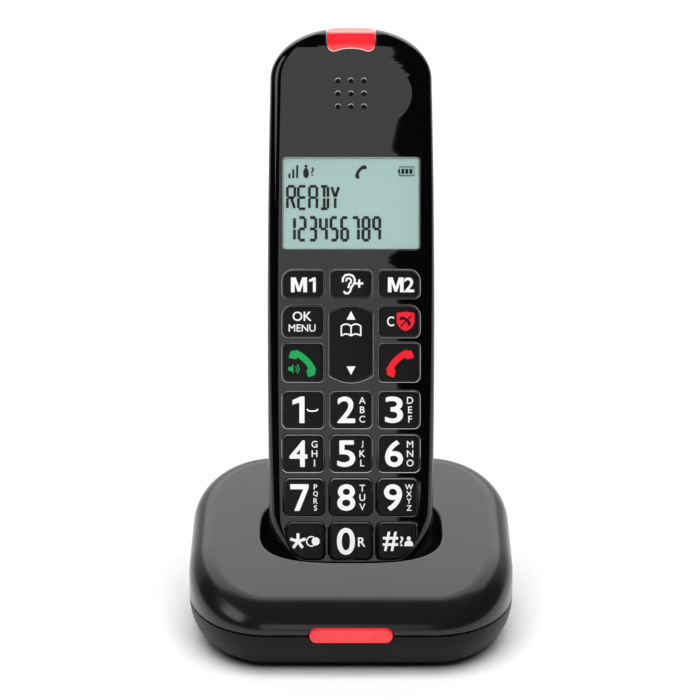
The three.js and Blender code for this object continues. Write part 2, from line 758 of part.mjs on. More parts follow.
// The light at the upper end: its lower edge is arched and it runs over the end.
function upperLensOutline(grow) {
  const bottom = HANDSET_LENGTH - LENS.height - grow;
  const reach = LENS.width / 2 + grow;
  const top = HANDSET_LENGTH + overTheEdge;
  const corner = LENS.corner + grow;
  const shape = new THREE.Shape();
  shape.moveTo(reach, bottom + corner);
  shape.lineTo(reach, top);
  shape.lineTo(-reach, top);
  shape.lineTo(-reach, bottom + corner);
  shape.quadraticCurveTo(-reach, bottom, corner - reach, bottom);
  shape.quadraticCurveTo(0, bottom + 2 * LENS.arch, reach - corner, bottom);
  shape.quadraticCurveTo(reach, bottom, reach, bottom + corner);
  return shape;
}

const farFront = -halfThickness - overTheEdge;
const farBack = halfThickness + overTheEdge;
const wide = [-HANDSET_WIDTH, HANDSET_WIDTH];
const tall = [-overTheEdge, HANDSET_LENGTH + overTheEdge];
const handsetOuter = handsetBody(0);
const handsetInner = handsetBody(HANDSET_WALL);
const handsetSkin = handsetOuter.subtract(handsetInner);

const screwSides = bothSides.map((side) => side * HANDSET_SCREW.x);
const screwHeadFloor = halfThickness - HANDSET_SCREW.headHeight - 2 * GAP;
const screwSeat = screwHeadFloor - HANDSET_WALL;
const handsetBossRadius = HANDSET_SCREW.shank + GAP + HANDSET_BOSS_WALL;

function plateSpans(side, grow) {
  const x = side * CONTACT.x;
  const { width, depth, height, start } = CHARGE_PLATE;
  return [
    [x - width / 2 - grow, x + width / 2 + grow],
    [-depth / 2 - grow, depth / 2 + grow],
    [start - (grow && overTheEdge), start + height + grow],
  ];
}

const plateCuts = bothSides.map((side) => block(...plateSpans(side, GAP)));

function earDishCut() {
  const { radius, squash, depth } = EAR_DISH;
  const steps = 3;
  const profile = [];
  for (let i = 0; i <= steps; i += 1) {
    const t = i / steps;
    profile.push(new THREE.Vector2(radius * t, depth * (1 - t ** 2)));
  }
  profile.push(new THREE.Vector2(radius, -depth), new THREE.Vector2(0, -depth));
  const dish = new THREE.LatheGeometry(profile, 20).scale(1, 1, squash);
  return solidOf(dish.translate(0, -halfThickness, earCentre));
}

function earHoles() {
  const steps = [-1, 0, 1];
  return steps.flatMap((across) =>
    steps.map((up) =>
      level(
        EARPIECE.hole,
        across * EARPIECE.pitch,
        [farFront, innerFront + GAP],
        earCentre + up * EARPIECE.pitch,
        6,
      ),
    ),
  );
}

function handsetFrontShell() {
  const front = handsetSkin.intersect(block(wide, [farFront, -GAP / 2], tall));
  const bosses = screwSides.map((x) =>
    level(handsetBossRadius, x, [innerFront - HANDSET_WALL / 2, screwSeat - GAP], screwHeight, 12),
  );
  const bossHoles = screwSides.map((x) => {
    const end = halfThickness - GAP - HANDSET_SCREW.length - GAP;
    return level(HANDSET_SCREW.shank + GAP, x, [end, farBack], screwHeight, 12);
  });
  const ledge = windowOutline(-WINDOW_LEDGE);
  const glassFloor = WINDOW.thickness + GAP - halfThickness;
  const cutters = [
    slab(windowOutline(GAP), [farFront, glassFloor]),
    slab(ledge, [farFront, innerFront + GAP]),
    ...keys.map((key) => {
      const hole = moved(key.outline(MOVING_GAP), key.x, key.height);
      return slab(hole, [farFront, innerFront + GAP]);
    }),
    earDishCut(),
    ...earHoles(),
    slab(upperLensOutline(GAP), [farFront, 0]),
    level(MICROPHONE.hole, 0, [farFront, innerFront + GAP], MICROPHONE.height, 8),
    ...plateCuts,
  ];
  return cutBy(joined([front, ...bosses]), [...bossHoles, ...cutters]);
}

const trayInside = [-trayReach, trayReach];
const traySpan = [TRAY_START, trayEnd];
const doorSpan = [TRAY_START - DOOR_OVERLAP, trayEnd + DOOR_OVERLAP];
const doorWidth = [-doorReach, doorReach];
const grown = (span, amount) => [span[0] - amount, span[1] + amount];

function handsetBackShell() {
  const back = handsetSkin.intersect(block(wide, [GAP / 2, farBack], tall));
  const inWall = halfThickness - HANDSET_WALL / 2;
  const tray = block(
    grown(trayInside, TRAY_WALL),
    [trayFloor - TRAY_WALL, inWall],
    grown(traySpan, TRAY_WALL),
  );
  const ledge = block(
    grown(doorWidth, DOOR_LEDGE),
    [innerBack - GAP - DOOR_LEDGE, inWall],
    grown(doorSpan, DOOR_LEDGE),
  );
  const seats = screwSides.map((x) =>
    level(HANDSET_SCREW.head + GAP + 1, x, [screwSeat, inWall], screwHeight, 16),
  );
  const cutters = [
    block(trayInside, [trayFloor, farBack], traySpan),
    block(grown(doorWidth, GAP), [innerBack - GAP, farBack], grown(doorSpan, GAP)),
    ...screwSides.map((x) =>
      level(HANDSET_SCREW.head + GAP, x, [screwHeadFloor, farBack], screwHeight),
    ),
    ...screwSides.map((x) =>
      level(HANDSET_SCREW.shank + GAP, x, [innerBack - overTheEdge, farBack], screwHeight, 12),
    ),
    ...loudspeakerHoles(),
    ...plateCuts,
  ];
  return cutBy(joined([back, tray, ledge, ...seats]), cutters);
}

function loudspeakerHoles() {
  const { hole, ring, height } = LOUDSPEAKER;
  const count = 6;
  const places = [[0, 0]];
  for (let i = 0; i < count; i += 1) {
    const angle = (i / count) * 2 * Math.PI;
    places.push([ring * Math.cos(angle), ring * Math.sin(angle)]);
  }
  return places.map(([x, up]) => level(hole, x, [innerBack - GAP, farBack], height + up, 8));
}

function batteryDoor() {
  return handsetOuter.intersect(block(doorWidth, [innerBack, farBack], doorSpan));
}

function handsetLens() {
  const run = slab(upperLensOutline(0), [farFront, -GAP]);
  return handsetBody(-LENS.proud).intersect(run).subtract(handsetInner);
}

// ---- Inside the handset ----

function circuitBoard() {
  const top = HANDSET_LENGTH - BOARD_FROM_TOP;
  const outline = outlineBand(HANDSET_WALL + BOARD_EDGE, [BOARD_START, top]);
  const bossHoles = screwSides.map((x) =>
    level(handsetBossRadius + GAP, x, [farFront, farBack], screwHeight, 12),
  );
  return cutBy(slab(outline, [boardFront, boardBack]), bossHoles);
}

function keypadMat() {
  const top = MEMORY_ROW.centre + MEMORY_ROW.height / 2;
  const start = DIGIT_ROW.first - DIGIT_ROW.height / 2;
  const outline = outlineBand(HANDSET_WALL + BOARD_EDGE, [start, top]);
  return slab(outline, [matFront, matFront + MAT_THICKNESS]);
}

function displayModule() {
  const corners = Array(4).fill(WINDOW.corner);
  const outline = roundedRectangle(WINDOW.width - GAP, WINDOW.height - GAP, corners);
  return slab(moved(outline, 0, windowCentre), [innerFront + GAP, boardFront - GAP]);
}

function batteryCell(side) {
  const { radius, length, nub, nubRadius } = CELL;
  const profile = [
    [0, 0],
    [radius, 0],
    [radius, length],
    [nubRadius, length],
    [nubRadius, length + nub],
    [0, length + nub],
  ];
  const geometry = turned(profile, 20);
  if (side > 0) geometry.rotateY(Math.PI).translate(0, 0, length + nub);
  return geometry;
}

// A strip across the compartment with a spring or a button for each cell.
function batteryContact(stripEnd, reachEnd) {
  const edge = trayReach - GAP;
  const strip = block(
    [-edge, edge],
    [cellCentre - CELL.radius * 0.8, cellCentre + CELL.radius * 0.8],
    [Math.min(...stripEnd), Math.max(...stripEnd)],
  );
  const centre = CELL.radius + CELL.spacing / 2;
  const posts = bothSides.map((side) =>
    upright(TERMINAL.radius, side * centre, cellCentre, reachEnd, 12),
  );
  return joined([strip, ...posts]);
}

const cellStart = TRAY_START + GAP + TERMINAL.thickness + SPRING_ROOM - 1;
const cellEnd = cellStart + CELL.length + CELL.nub;
const lowerStrip = [TRAY_START + GAP, TRAY_START + GAP + TERMINAL.thickness];
const upperStrip = [trayEnd - GAP - TERMINAL.thickness, trayEnd - GAP];

const handsetPieces = {
  handset_front_shell: [geometryOf(handsetFrontShell()), FINISHES.glossBlack],
  handset_back_shell: [geometryOf(handsetBackShell()), FINISHES.satinBlack],
  handset_light_lens: [geometryOf(handsetLens()), FINISHES.redLens],
  display_window: [
    slabGeometry(windowOutline(0), [-halfThickness, WINDOW.thickness - halfThickness]),
    FINISHES.clear,
  ],
  display_module: [geometryOf(displayModule()), FINISHES.displayFrame],
  handset_circuit_board: [geometryOf(circuitBoard()), FINISHES.board],
  keypad_mat: [geometryOf(keypadMat()), FINISHES.rubber],
  earpiece_speaker: [
    geometryOf(level(SPEAKER_RADIUS, 0, [innerFront + GAP, boardFront - GAP], earCentre, 20)),
    FINISHES.steel,
  ],
  microphone: [
    geometryOf(
      level(
        MICROPHONE.radius,
        0,
        [matFront - MICROPHONE.forward, boardFront - GAP],
        MICROPHONE.height,
        12,
      ),
    ),
    FINISHES.steel,
  ],
  loudspeaker: [
    geometryOf(
      level(
        LOUDSPEAKER.radius,
        0,
        [innerBack - GAP - LOUDSPEAKER.thickness, innerBack - GAP],
        LOUDSPEAKER.height,
        20,
      ),
    ),
    FINISHES.steel,
  ],
  antenna: [
    geometryOf(
      block(
        [-ANTENNA.width / 2, ANTENNA.width / 2],
        [boardBack + GAP, boardBack + GAP + ANTENNA.thickness],
        [HANDSET_LENGTH - ANTENNA.fromTop, HANDSET_LENGTH - ANTENNA.fromTop + ANTENNA.height],
      ),
    ),
    FINISHES.gold,
  ],
  battery_contact_lower: [
    geometryOf(batteryContact(lowerStrip, [lowerStrip[0], cellStart - GAP])),
    FINISHES.steel,
  ],
  battery_contact_upper: [
    geometryOf(batteryContact(upperStrip, [cellEnd + GAP, upperStrip[1]])),
    FINISHES.steel,
  ],
  battery_door: [geometryOf(batteryDoor()), FINISHES.satinBlack],
};

for (const [name, [geometry, finish]] of Object.entries(handsetPieces)) {
  addPiece(handset, name, geometry, finish);
}

for (const key of keys) {
  const piece = addPiece(handset, key.name, keyGeometry(key), FINISHES.keyBlack);
  piece.position.set(key.x, -halfThickness, key.height);
}

for (const side of bothSides) {
  const name = sideName(side);
  const cell = addPiece(handset, `battery_cell_${name}`, batteryCell(side), FINISHES.cellWrap);
  cell.position.set(side * (CELL.radius + CELL.spacing / 2), cellCentre, cellStart);
  const plate = geometryOf(block(...plateSpans(side, 0)));
  addPiece(handset, `charge_plate_${name}`, plate, FINISHES.gold);
  const contact = geometryOf(inBase(block(...contactSpans(side, 0))));
  addPiece(basePieces, `charge_contact_${name}`, contact, FINISHES.gold);
  const screw = addPiece(
    handset,
    `handset_screw_${name}`,
    screwGeometry(HANDSET_SCREW).rotateX(Math.PI / 2),
    FINISHES.steel,
  );
  screw.position.set(side * HANDSET_SCREW.x, halfThickness - GAP, screwHeight);
}

// ---- The whole, centred over the origin ----

const phone = new THREE.Group();
phone.add(basePieces, handset);
const bounds = new THREE.Box3().setFromObject(phone, true);
phone.position.y = -(bounds.min.y + bounds.max.y) / 2;

export default phone;
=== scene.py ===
"""A cordless phone: a handset standing in its charging base, as meshes with real surfaces.

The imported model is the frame: every size and place here is worked out from it. Shapes are
drawn in millimetres, in the frame of the part that they belong to, and are placed in metres.
"""

import json
import math

import bmesh
import bpy
from bpy.props import FloatProperty, FloatVectorProperty, PointerProperty
from mathutils import Matrix, Vector


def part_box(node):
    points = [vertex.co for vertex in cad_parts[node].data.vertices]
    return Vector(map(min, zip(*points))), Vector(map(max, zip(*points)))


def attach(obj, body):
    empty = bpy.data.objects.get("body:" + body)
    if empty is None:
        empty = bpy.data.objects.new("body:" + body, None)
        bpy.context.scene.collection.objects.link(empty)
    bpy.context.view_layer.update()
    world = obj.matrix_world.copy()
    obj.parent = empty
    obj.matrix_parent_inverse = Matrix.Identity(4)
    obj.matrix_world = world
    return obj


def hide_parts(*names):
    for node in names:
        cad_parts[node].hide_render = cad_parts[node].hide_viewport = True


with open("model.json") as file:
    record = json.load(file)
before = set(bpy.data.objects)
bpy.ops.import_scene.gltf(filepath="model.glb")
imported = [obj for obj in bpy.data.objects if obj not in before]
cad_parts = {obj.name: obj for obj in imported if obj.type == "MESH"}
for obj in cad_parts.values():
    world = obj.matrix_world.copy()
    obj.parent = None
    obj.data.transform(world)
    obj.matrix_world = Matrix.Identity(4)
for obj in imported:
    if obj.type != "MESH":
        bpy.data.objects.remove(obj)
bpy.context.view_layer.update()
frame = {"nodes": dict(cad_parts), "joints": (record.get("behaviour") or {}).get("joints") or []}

bl_info = {
    "name": "Cordless Phone",
    "version": (1, 0, 0),
    "blender": (4, 5, 0),
    "location": "3D View > Sidebar > Phone",
    "description": "Builds a cordless phone and its charging base around the packed model",
    "category": "Add Mesh",
}

MM = 0.001
X_AXIS = Vector((1, 0, 0))


# ---- What the frame says ----

JOINTS = {joint["name"]: joint for joint in frame["joints"]}


def size_of(node):
    """A CAD node's extent at rest, in millimetres."""
    low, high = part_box(node)
    return (high - low) / MM


def middle_of(node):
    low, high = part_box(node)
    return (low + high) / 2 / MM


ALONG = Vector(JOINTS["handset_lift"]["axis"]).normalized()
INWARD = Vector(JOINTS["battery_door_off"]["axis"]).normalized()
LEAN = math.atan2(ALONG.y, ALONG.z)
NAV_PIVOT = {"y": -9.5, "z": 70.35}  # of the rocker's hinge, in the handset's frame


def frame_matrix(origin, x_axis, y_axis, z_axis):
    """From millimetres in a part's frame to metres in the whole model's frame."""
    matrix = Matrix.Identity(4)
    for column, axis in enumerate((x_axis, y_axis, z_axis)):
        for row in range(3):
            matrix[row][column] = axis[row] * MM
    for row in range(3):
        matrix[row][3] = origin[row]
    return matrix


def handset_matrix():
    pivot = Vector(JOINTS["nav_rock"]["pos_m"])
    origin = pivot - INWARD * NAV_PIVOT["y"] * MM - ALONG * NAV_PIVOT["z"] * MM
    return frame_matrix(origin, X_AXIS, INWARD, ALONG)


def base_matrix():
    origin = Vector((0, middle_of("base_top_shell").y * MM, 0))
    return frame_matrix(origin, X_AXIS, Vector((0, 1, 0)), Vector((0, 0, 1)))


HANDSET = handset_matrix()
BASE = base_matrix()
HANDSET_INVERSE = HANDSET.inverted()
BASE_INVERSE = BASE.inverted()
HANDSET_TO_BASE = BASE_INVERSE @ HANDSET


def handset_span(node):
    """Lowest and highest corner of a node in the handset's own frame, in millimetres."""
    points = [HANDSET_INVERSE @ vertex.co for vertex in frame["nodes"][node].data.vertices]
    low = Vector([min(point[i] for point in points) for i in range(3)])
    high = Vector([max(point[i] for point in points) for i in range(3)])
    return low, high


HANDSET_LENGTH = handset_span("handset_front_shell")[1].z
HANDSET_HALF_WIDTH = size_of("handset_front_shell").x / 2
HALF_THICKNESS = handset_span("handset_back_shell")[1].y
BASE_HALF = size_of("base_top_shell") / 2


# ---- Sizes and colours that a user would change ----


def millimetres(name, description, default):
    return FloatProperty(name=name, description=description, default=default, min=0, precision=2)


def colour(name, description, default):
    return FloatVectorProperty(
        name=name, description=description, default=default, subtype="COLOR", size=3, min=0, max=1
    )


class PhoneSizes(bpy.types.PropertyGroup):
    wall: millimetres("Wall", "Thickness of the casings, in millimetres", 2.0)
    front_edge: millimetres("Front edge", "Radius along the handset's front edge", 3.6)
    back_edge: millimetres("Back edge", "Radius along the handset's back edge", 9.0)
    base_fillet: millimetres("Base fillet", "Radius round the base's top", 8.0)
    lip: millimetres("Pocket lip", "Radius of the pocket's lip", 0.9)
    rim: millimetres("Rim", "Rounding of every moulded edge", 0.18)
    key_rise: millimetres("Key rise", "How far a key stands out of the casing", 1.2)
    key_dome: millimetres("Key dome", "How much a key's top is crowned", 0.1)
    legend_height: millimetres("Digit height", "Height of the printed digits", 7.8)
    ink: millimetres("Ink", "Thickness of the printed legends", 0.05)


class PhoneColours(bpy.types.PropertyGroup):
    gloss: colour("Gloss casing", "Polished casing", (0.0014, 0.0014, 0.0016))
    satin: colour("Satin casing", "Textured casing", (0.0018, 0.0018, 0.002))
    key: colour("Keys", "Key caps", (0.0036, 0.0036, 0.004))
    display: colour("Display", "Display background", (0.395, 0.545, 0.515))
    segment: colour("Segments", "Dark display segments", (0.004, 0.006, 0.008))
    lens: colour("Light", "Red light windows", (0.52, 0.006, 0.012))
    ink: colour("Ink", "White legends", (0.88, 0.88, 0.88))
    green: colour("Call", "Green legends", (0.0, 0.33, 0.075))
    red: colour("End", "Red legends", (0.76, 0.002, 0.016))
    floor: colour("Floor", "Surface that the phone stands on", (0.9, 0.9, 0.9))


def sizes():
    return bpy.context.scene.phone_sizes


def colours():
    return bpy.context.scene.phone_colours


# ---- Shader maths ----


class Socket:
    """A shader socket with the usual operators, for numbers that vary over a surface."""

    def __init__(self, graph, socket):
        self.graph = graph
        self.socket = socket

    def _math(self, operation, *values):
        return self.graph.add("ShaderNodeMath", {"operation": operation}, dict(enumerate(values)))

    def __add__(self, other):
        return self._math("ADD", self, other)

    def __radd__(self, other):
        return self._math("ADD", other, self)

    def __sub__(self, other):
        return self._math("SUBTRACT", self, other)

    def __rsub__(self, other):
        return self._math("SUBTRACT", other, self)

    def __mul__(self, other):
        return self._math("MULTIPLY", self, other)

    def __rmul__(self, other):
        return self._math("MULTIPLY", other, self)

    def power(self, exponent):
        return self._math("POWER", self, exponent)


class Graph:
    """One material's nodes."""

    def __init__(self, name):
        self.material = bpy.data.materials.new(name)
        self.material.use_nodes = True
        self.nodes = self.material.node_tree.nodes
        self.links = self.material.node_tree.links
        self.nodes.clear()

    def node(self, kind, settings, inputs):
        made = self.nodes.new(kind)
        for name, value in settings.items():
            if name == "stops":
                set_stops(made.color_ramp, value)
            else:
                setattr(made, name, value)
        for name, value in inputs.items():
            if isinstance(value, Socket):
                self.links.new(value.socket, made.inputs[name])
            else:
                made.inputs[name].default_value = value
        return made

    def add(self, kind, settings, inputs, output=0):
        return Socket(self, self.node(kind, settings, inputs).outputs[output])

    def place(self):
        """The object's own coordinates, in metres."""
        return self.add("ShaderNodeTexCoord", {}, {}, "Object")

    def noise(self, scale, detail=2.0, roughness=0.5, vector=None):
        inputs = {"Scale": scale, "Detail": detail, "Roughness": roughness}
        inputs["Vector"] = vector or self.place()
        return self.add("ShaderNodeTexNoise", {}, inputs, "Fac")

    def ramp(self, factor, stops):
        return self.add("ShaderNodeValToRGB", {"stops": stops}, {"Fac": factor}, "Color")

    def blend(self, factor, first, second):
        """A colour between two colours."""
        inputs = {"Factor": factor, "A": first, "B": second}
        made = self.node("ShaderNodeMix", {"data_type": "RGBA"}, {})
        for name, value in inputs.items():
            slot = next(s for s in made.inputs if s.name == name and s.enabled)
            if isinstance(value, Socket):
                self.links.new(value.socket, slot)
            else:
                slot.default_value = value
        return Socket(self, next(s for s in made.outputs if s.enabled))

    def bump(self, height, strength, distance):
        inputs = {"Height": height, "Strength": strength, "Distance": distance}
        return self.add("ShaderNodeBump", {}, inputs, "Normal")

    def surface(self, shader):
        output = self.nodes.new("ShaderNodeOutputMaterial")
        self.links.new(shader.socket, output.inputs["Surface"])
        return self.material

    def principled(self, **inputs):
        named = {name.replace("_", " ").title(): value for name, value in inputs.items()}
        renamed = {"Ior": "IOR", "Specular Ior Level": "Specular IOR Level"}
        named = {renamed.get(name, name): value for name, value in named.items()}
        return self.add("ShaderNodeBsdfPrincipled", {}, named)


def set_stops(ramp, stops):
    while len(ramp.elements) < len(stops):
        ramp.elements.new(0.5)
    for element, (position, value) in zip(ramp.elements, stops):
        element.position = position
        element.color = value


def rgba(value, shade=1.0):
    return (*(channel * shade for channel in value), 1.0)


# ---- Finishes ----


def gloss_black(name="gloss_black", haze=0.012, uneven=0.02, shade=1.0):
    graph = Graph(name)
    smudge = graph.noise(55, 4, 0.6)
    roughness = graph.noise(900, 2) * 0.015 + smudge.power(3) * uneven + haze
    orange_peel = graph.bump(graph.noise(420, 2), 0.003, 0.0002)
    # A shade above one is painted light: a lighter copy of the same black plastic, standing in for
    # light falling on it.
    tint = graph.blend(smudge, rgba(colours().gloss, shade), rgba(colours().gloss, 1.5 * shade))
    shader = graph.principled(
        base_color=tint, roughness=roughness, ior=1.5, normal=orange_peel
    )
    return graph.surface(shader)


def satin_black():
    graph = Graph("satin_black")
    spark = graph.noise(3200, 3, 0.7)
    wear = graph.noise(40, 3)
    tint = graph.blend(wear, rgba(colours().satin, 0.8), rgba(colours().satin, 1.5))
    shader = graph.principled(
        base_color=tint, roughness=wear * 0.16 + spark * 0.1 + 0.3, ior=1.3,
        normal=graph.bump(spark, 0.25, 0.00006),
    )
    return graph.surface(shader)


def key_black():
    graph = Graph("key_black")
    grain = graph.noise(4200, 2, 0.6)
    finger = graph.noise(160, 3, 0.6)
    tint = graph.blend(finger, rgba(colours().key, 0.9), rgba(colours().key, 1.3))
    shader = graph.principled(
        base_color=tint, roughness=finger * 0.16 + 0.27, ior=1.32,
        normal=graph.bump(grain, 0.12, 0.00004),
    )
    return graph.surface(shader)


def display_glass():
    """Clear where it is seen straight through, and mirror-like towards the edge of view."""
    graph = Graph("display_glass")
    smudge = graph.noise(70, 3, 0.6)
    gloss = graph.add(
        "ShaderNodeBsdfGlossy", {}, {"Color": (1, 1, 1, 1), "Roughness": smudge * 0.05 + 0.02}
    )
    clear = graph.add("ShaderNodeBsdfTransparent", {}, {"Color": (0.97, 0.985, 0.98, 1)})
    fresnel = graph.add("ShaderNodeFresnel", {}, {"IOR": 1.45})
    made = graph.nodes.new("ShaderNodeMixShader")
    graph.links.new((fresnel * 0.15).socket, made.inputs[0])
    graph.links.new(clear.socket, made.inputs[1])
    graph.links.new(gloss.socket, made.inputs[2])
    return graph.surface(Socket(graph, made.outputs[0]))


def display_panel():
    graph = Graph("display_panel")
    cells = graph.noise(5200, 1)
    cloud = graph.noise(28, 2)
    mixed = cells * 0.25 + cloud * 0.75
    tint = graph.blend(mixed, rgba(colours().display, 0.95), rgba(colours().display, 1.06))
    shader = graph.principled(
        # The screen's emission is painted light: it makes the screen glow in its own colour, though
        # no lamp lights it.
        base_color=tint, roughness=cells * 0.1 + 0.42, emission_color=tint, emission_strength=0.16
    )
    return graph.surface(shader)


def red_lens():
    graph = Graph("red_lens")
    depth = graph.noise(260, 2)
    tint = graph.blend(depth, rgba(colours().lens, 0.8), rgba(colours().lens, 1.15))
    glow = graph.blend(depth, (0.75, 0.012, 0.02, 1), (1.0, 0.05, 0.06, 1))
    shader = graph.principled(
        base_color=tint, roughness=graph.noise(600, 2) * 0.08 + 0.06, ior=1.49, coat_weight=0.5,
        emission_color=glow, emission_strength=0.6, subsurface_weight=0.15,
        subsurface_scale=0.002, normal=graph.bump(depth, 0.03, 0.0002),
    )
    return graph.surface(shader)


def rubber():
    graph = Graph("rubber")
    grain = graph.noise(2600, 4, 0.7)
    dust = graph.noise(90, 3)
    tint = graph.blend(dust, (0.012, 0.012, 0.012, 1), (0.03, 0.03, 0.029, 1))
    shader = graph.principled(
        base_color=tint, roughness=grain * 0.15 + 0.72, normal=graph.bump(grain, 0.5, 0.0001)
    )
    return graph.surface(shader)


def circuit_board():
    """Solder mask over copper, with a fibre weave beneath."""
    graph = Graph("circuit_board")
    bricks = {"Color1": (0, 0, 0, 1), "Color2": (0.3, 0.3, 0.3, 1), "Mortar": (1, 1, 1, 1)}
    bricks.update({"Vector": graph.place(), "Scale": 330.0, "Mortar Size": 0.05})
    tracks = graph.add("ShaderNodeTexBrick", {}, bricks, "Color")
    tint = graph.blend(tracks, (0.008, 0.09, 0.03, 1), (0.03, 0.24, 0.07, 1))
    weave = graph.noise(2400, 2)
    shader = graph.principled(
        base_color=tint, roughness=weave * 0.12 + 0.28, normal=graph.bump(tracks, 0.2, 0.0001)
    )
    return graph.surface(shader)


def metal(name, dark, bright, roughness):
    """Drawn metal with fine scratches."""
    graph = Graph(name)
    stretched = graph.add(
        "ShaderNodeMapping", {}, {"Vector": graph.place(), "Scale": (1, 1, 0.08)}
    )
    scratch = graph.noise(5200, 3, 0.7, stretched)
    stain = graph.noise(240, 3)
    shader = graph.principled(
        base_color=graph.blend(stain, dark, bright), metallic=1.0,
        roughness=scratch * 0.22 + roughness, normal=graph.bump(scratch, 0.12, 0.00003),
    )
    return graph.surface(shader)


def cell_wrap():
    """A shrunk sleeve with a pale band round it."""
    graph = Graph("cell_wrap")
    along = graph.add("ShaderNodeSeparateXYZ", {}, {"Vector": graph.place()}, "Z")
    band = graph.ramp(along * 9.0, [(0.0, (0.02, 0.2, 0.09, 1)), (0.62, (0.02, 0.2, 0.09, 1)),
                                    (0.64, (0.7, 0.72, 0.68, 1)), (0.8, (0.7, 0.72, 0.68, 1))])
    wrinkle = graph.noise(700, 3)
    shader = graph.principled(
        base_color=band, roughness=wrinkle * 0.2 + 0.2, coat_weight=0.4,
        normal=graph.bump(wrinkle, 0.15, 0.0001),
    )
    return graph.surface(shader)


def print_ink(name, value, glow=0.0):
    """Pad-printed ink: faintly uneven, and slightly rough; its glow is painted light, ink shining
    in its own colour.
    """
    graph = Graph(name)
    mottle = graph.noise(1500, 3, 0.6)
    tint = graph.blend(mottle, rgba(value, 0.9), rgba(value, 1.0))
    shader = graph.principled(
        base_color=tint, roughness=mottle * 0.2 + 0.38, emission_color=tint,
        emission_strength=glow, normal=graph.bump(mottle, 0.15, 0.00003),
    )
    return graph.surface(shader)


def floor_paper():
    graph = Graph("floor_paper")
    fibre = graph.noise(60, 4, 0.6)
    tint = graph.blend(fibre, rgba(colours().floor, 0.995), rgba(colours().floor, 1.0))
    shader = graph.principled(base_color=tint, roughness=fibre * 0.1 + 0.75, specular_ior_level=0.2)
    return graph.surface(shader)


MADE = {}
MAKERS = {
    "gloss_black": gloss_black,
    # The base's copy of the gloss black has its colour made 4.4 times lighter: painted light that
    # brightens the base's top and front.
    "base_gloss_painted_light": lambda: gloss_black("base_gloss_painted_light", 0.2, 0.08, 4.4),
    "satin_black": satin_black,
    "key_black": key_black,
    "display_glass": display_glass,
    "display_panel": display_panel,
    "red_lens": red_lens,
    "rubber": rubber,
    "circuit_board": circuit_board,
    "steel": lambda: metal("steel", (0.42, 0.43, 0.45, 1), (0.62, 0.63, 0.65, 1), 0.2),
    "contact_metal": lambda: metal(
        "contact_metal", (0.6, 0.42, 0.14, 1), (0.86, 0.65, 0.26, 1), 0.14
    ),
    "cell_wrap": cell_wrap,
    # The legends' glow is painted light: printed ink that shines in its own colour, though it is no
    # lamp.
    "legend_ink": lambda: print_ink("legend_ink", colours().ink, 0.25),
    "legend_green": lambda: print_ink("legend_green", colours().green, 0.3),
    "legend_red": lambda: print_ink("legend_red", colours().red, 0.3),
    "display_segment": lambda: print_ink("display_segment", colours().segment),
    "floor_paper": floor_paper,
}


def finish_named(name):
    """The material for a slot, made when it is first asked for."""
    if name not in MADE:
        MADE[name] = MAKERS[name]()
    return MADE[name]


# ---- Meshes ----


def linked(name, data):
    """A new object in the scene."""
    made = bpy.data.objects.new(name, data)
    bpy.context.scene.collection.objects.link(made)
    return made


def finished(shape):
    """The mesh of a bmesh, which is freed."""
    mesh = bpy.data.meshes.new("shape")
    shape.to_mesh(mesh)
    shape.free()
    return mesh


def evaluated_mesh(holder):
    """A mesh of an object with its modifiers applied."""
    bpy.context.view_layer.update()
    evaluated = holder.evaluated_get(bpy.context.evaluated_depsgraph_get())
    return bpy.data.meshes.new_from_object(evaluated)


def mesh_of(points, faces):
    mesh = bpy.data.meshes.new("shape")
    mesh.from_pydata([tuple(point) for point in points], [], faces)
    shape = bmesh.new()
    shape.from_mesh(mesh)
    bmesh.ops.remove_doubles(shape, verts=shape.verts, dist=1e-5)
    bmesh.ops.recalc_face_normals(shape, faces=shape.faces)
    shape.to_mesh(mesh)
    shape.free()
    return mesh


def loft(rings, first=None, last=None):
    """A closed skin over rings of equal length. An end is a fan to a point, or a flat face."""
    count = len(rings[0])
    points = [point for ring in rings for point in ring]
    faces = []
    for row in range(0, (len(rings) - 1) * count, count):
        for i in range(count):
            after = (i + 1) % count
            faces.append((row + i, row + after, row + count + after, row + count + i))
    for ring_start, end in ((0, first), ((len(rings) - 1) * count, last)):
        if end is None:
            faces.append(tuple(range(ring_start, ring_start + count)))
        else:
            points.append(end)
            tip = len(points) - 1
            faces += [(ring_start + i, ring_start + (i + 1) % count, tip) for i in range(count)]
    return mesh_of(points, faces)


def merged(meshes):
    """One mesh with all the given ones in it."""
    shape = bmesh.new()
    for mesh in meshes:
        shape.from_mesh(mesh)
        bpy.data.meshes.remove(mesh)
    return finished(shape)


def boolean(mesh, other, operation="DIFFERENCE"):
    """The first mesh cut by, or cut down to, the second one."""
    subject, tool = linked("subject", mesh), linked("tool", other)
    modifier = subject.modifiers.new("cut", "BOOLEAN")
    modifier.operation = operation
    modifier.object = tool
    modifier.solver = "EXACT"
    result = evaluated_mesh(subject)
    bpy.data.objects.remove(subject)
    bpy.data.objects.remove(tool)
    bpy.data.meshes.remove(mesh)
    bpy.data.meshes.remove(other)
    if not result.polygons:
        raise RuntimeError("a cut left nothing of its mesh")
    return result


def cut(mesh, *others):
    for other in others:
        mesh = boolean(mesh, other)
    return mesh


def box_mesh(x, y, z):
    ring = [(x[0], y[0]), (x[1], y[0]), (x[1], y[1]), (x[0], y[1])]
    return loft([[(px, py, height) for px, py in ring] for height in z])


def turned(profile, axis, centre, sides=48):
    """A round solid from [radius, distance] pairs along an axis, the ends closed by a point."""
    along = Vector(axis)
    across = along.orthogonal().normalized()
    beside = along.cross(across)
    rings = []
    for radius, distance in profile:
        ring = []
        for i in range(sides):
            angle = 2 * math.pi * i / sides
            spoke = across * math.cos(angle) + beside * math.sin(angle)
            ring.append(Vector(centre) + along * distance + spoke * max(radius, 1e-3))
        rings.append(ring)
    ends = [Vector(centre) + along * profile[i][1] for i in (0, -1)]
    return loft(rings, *ends)


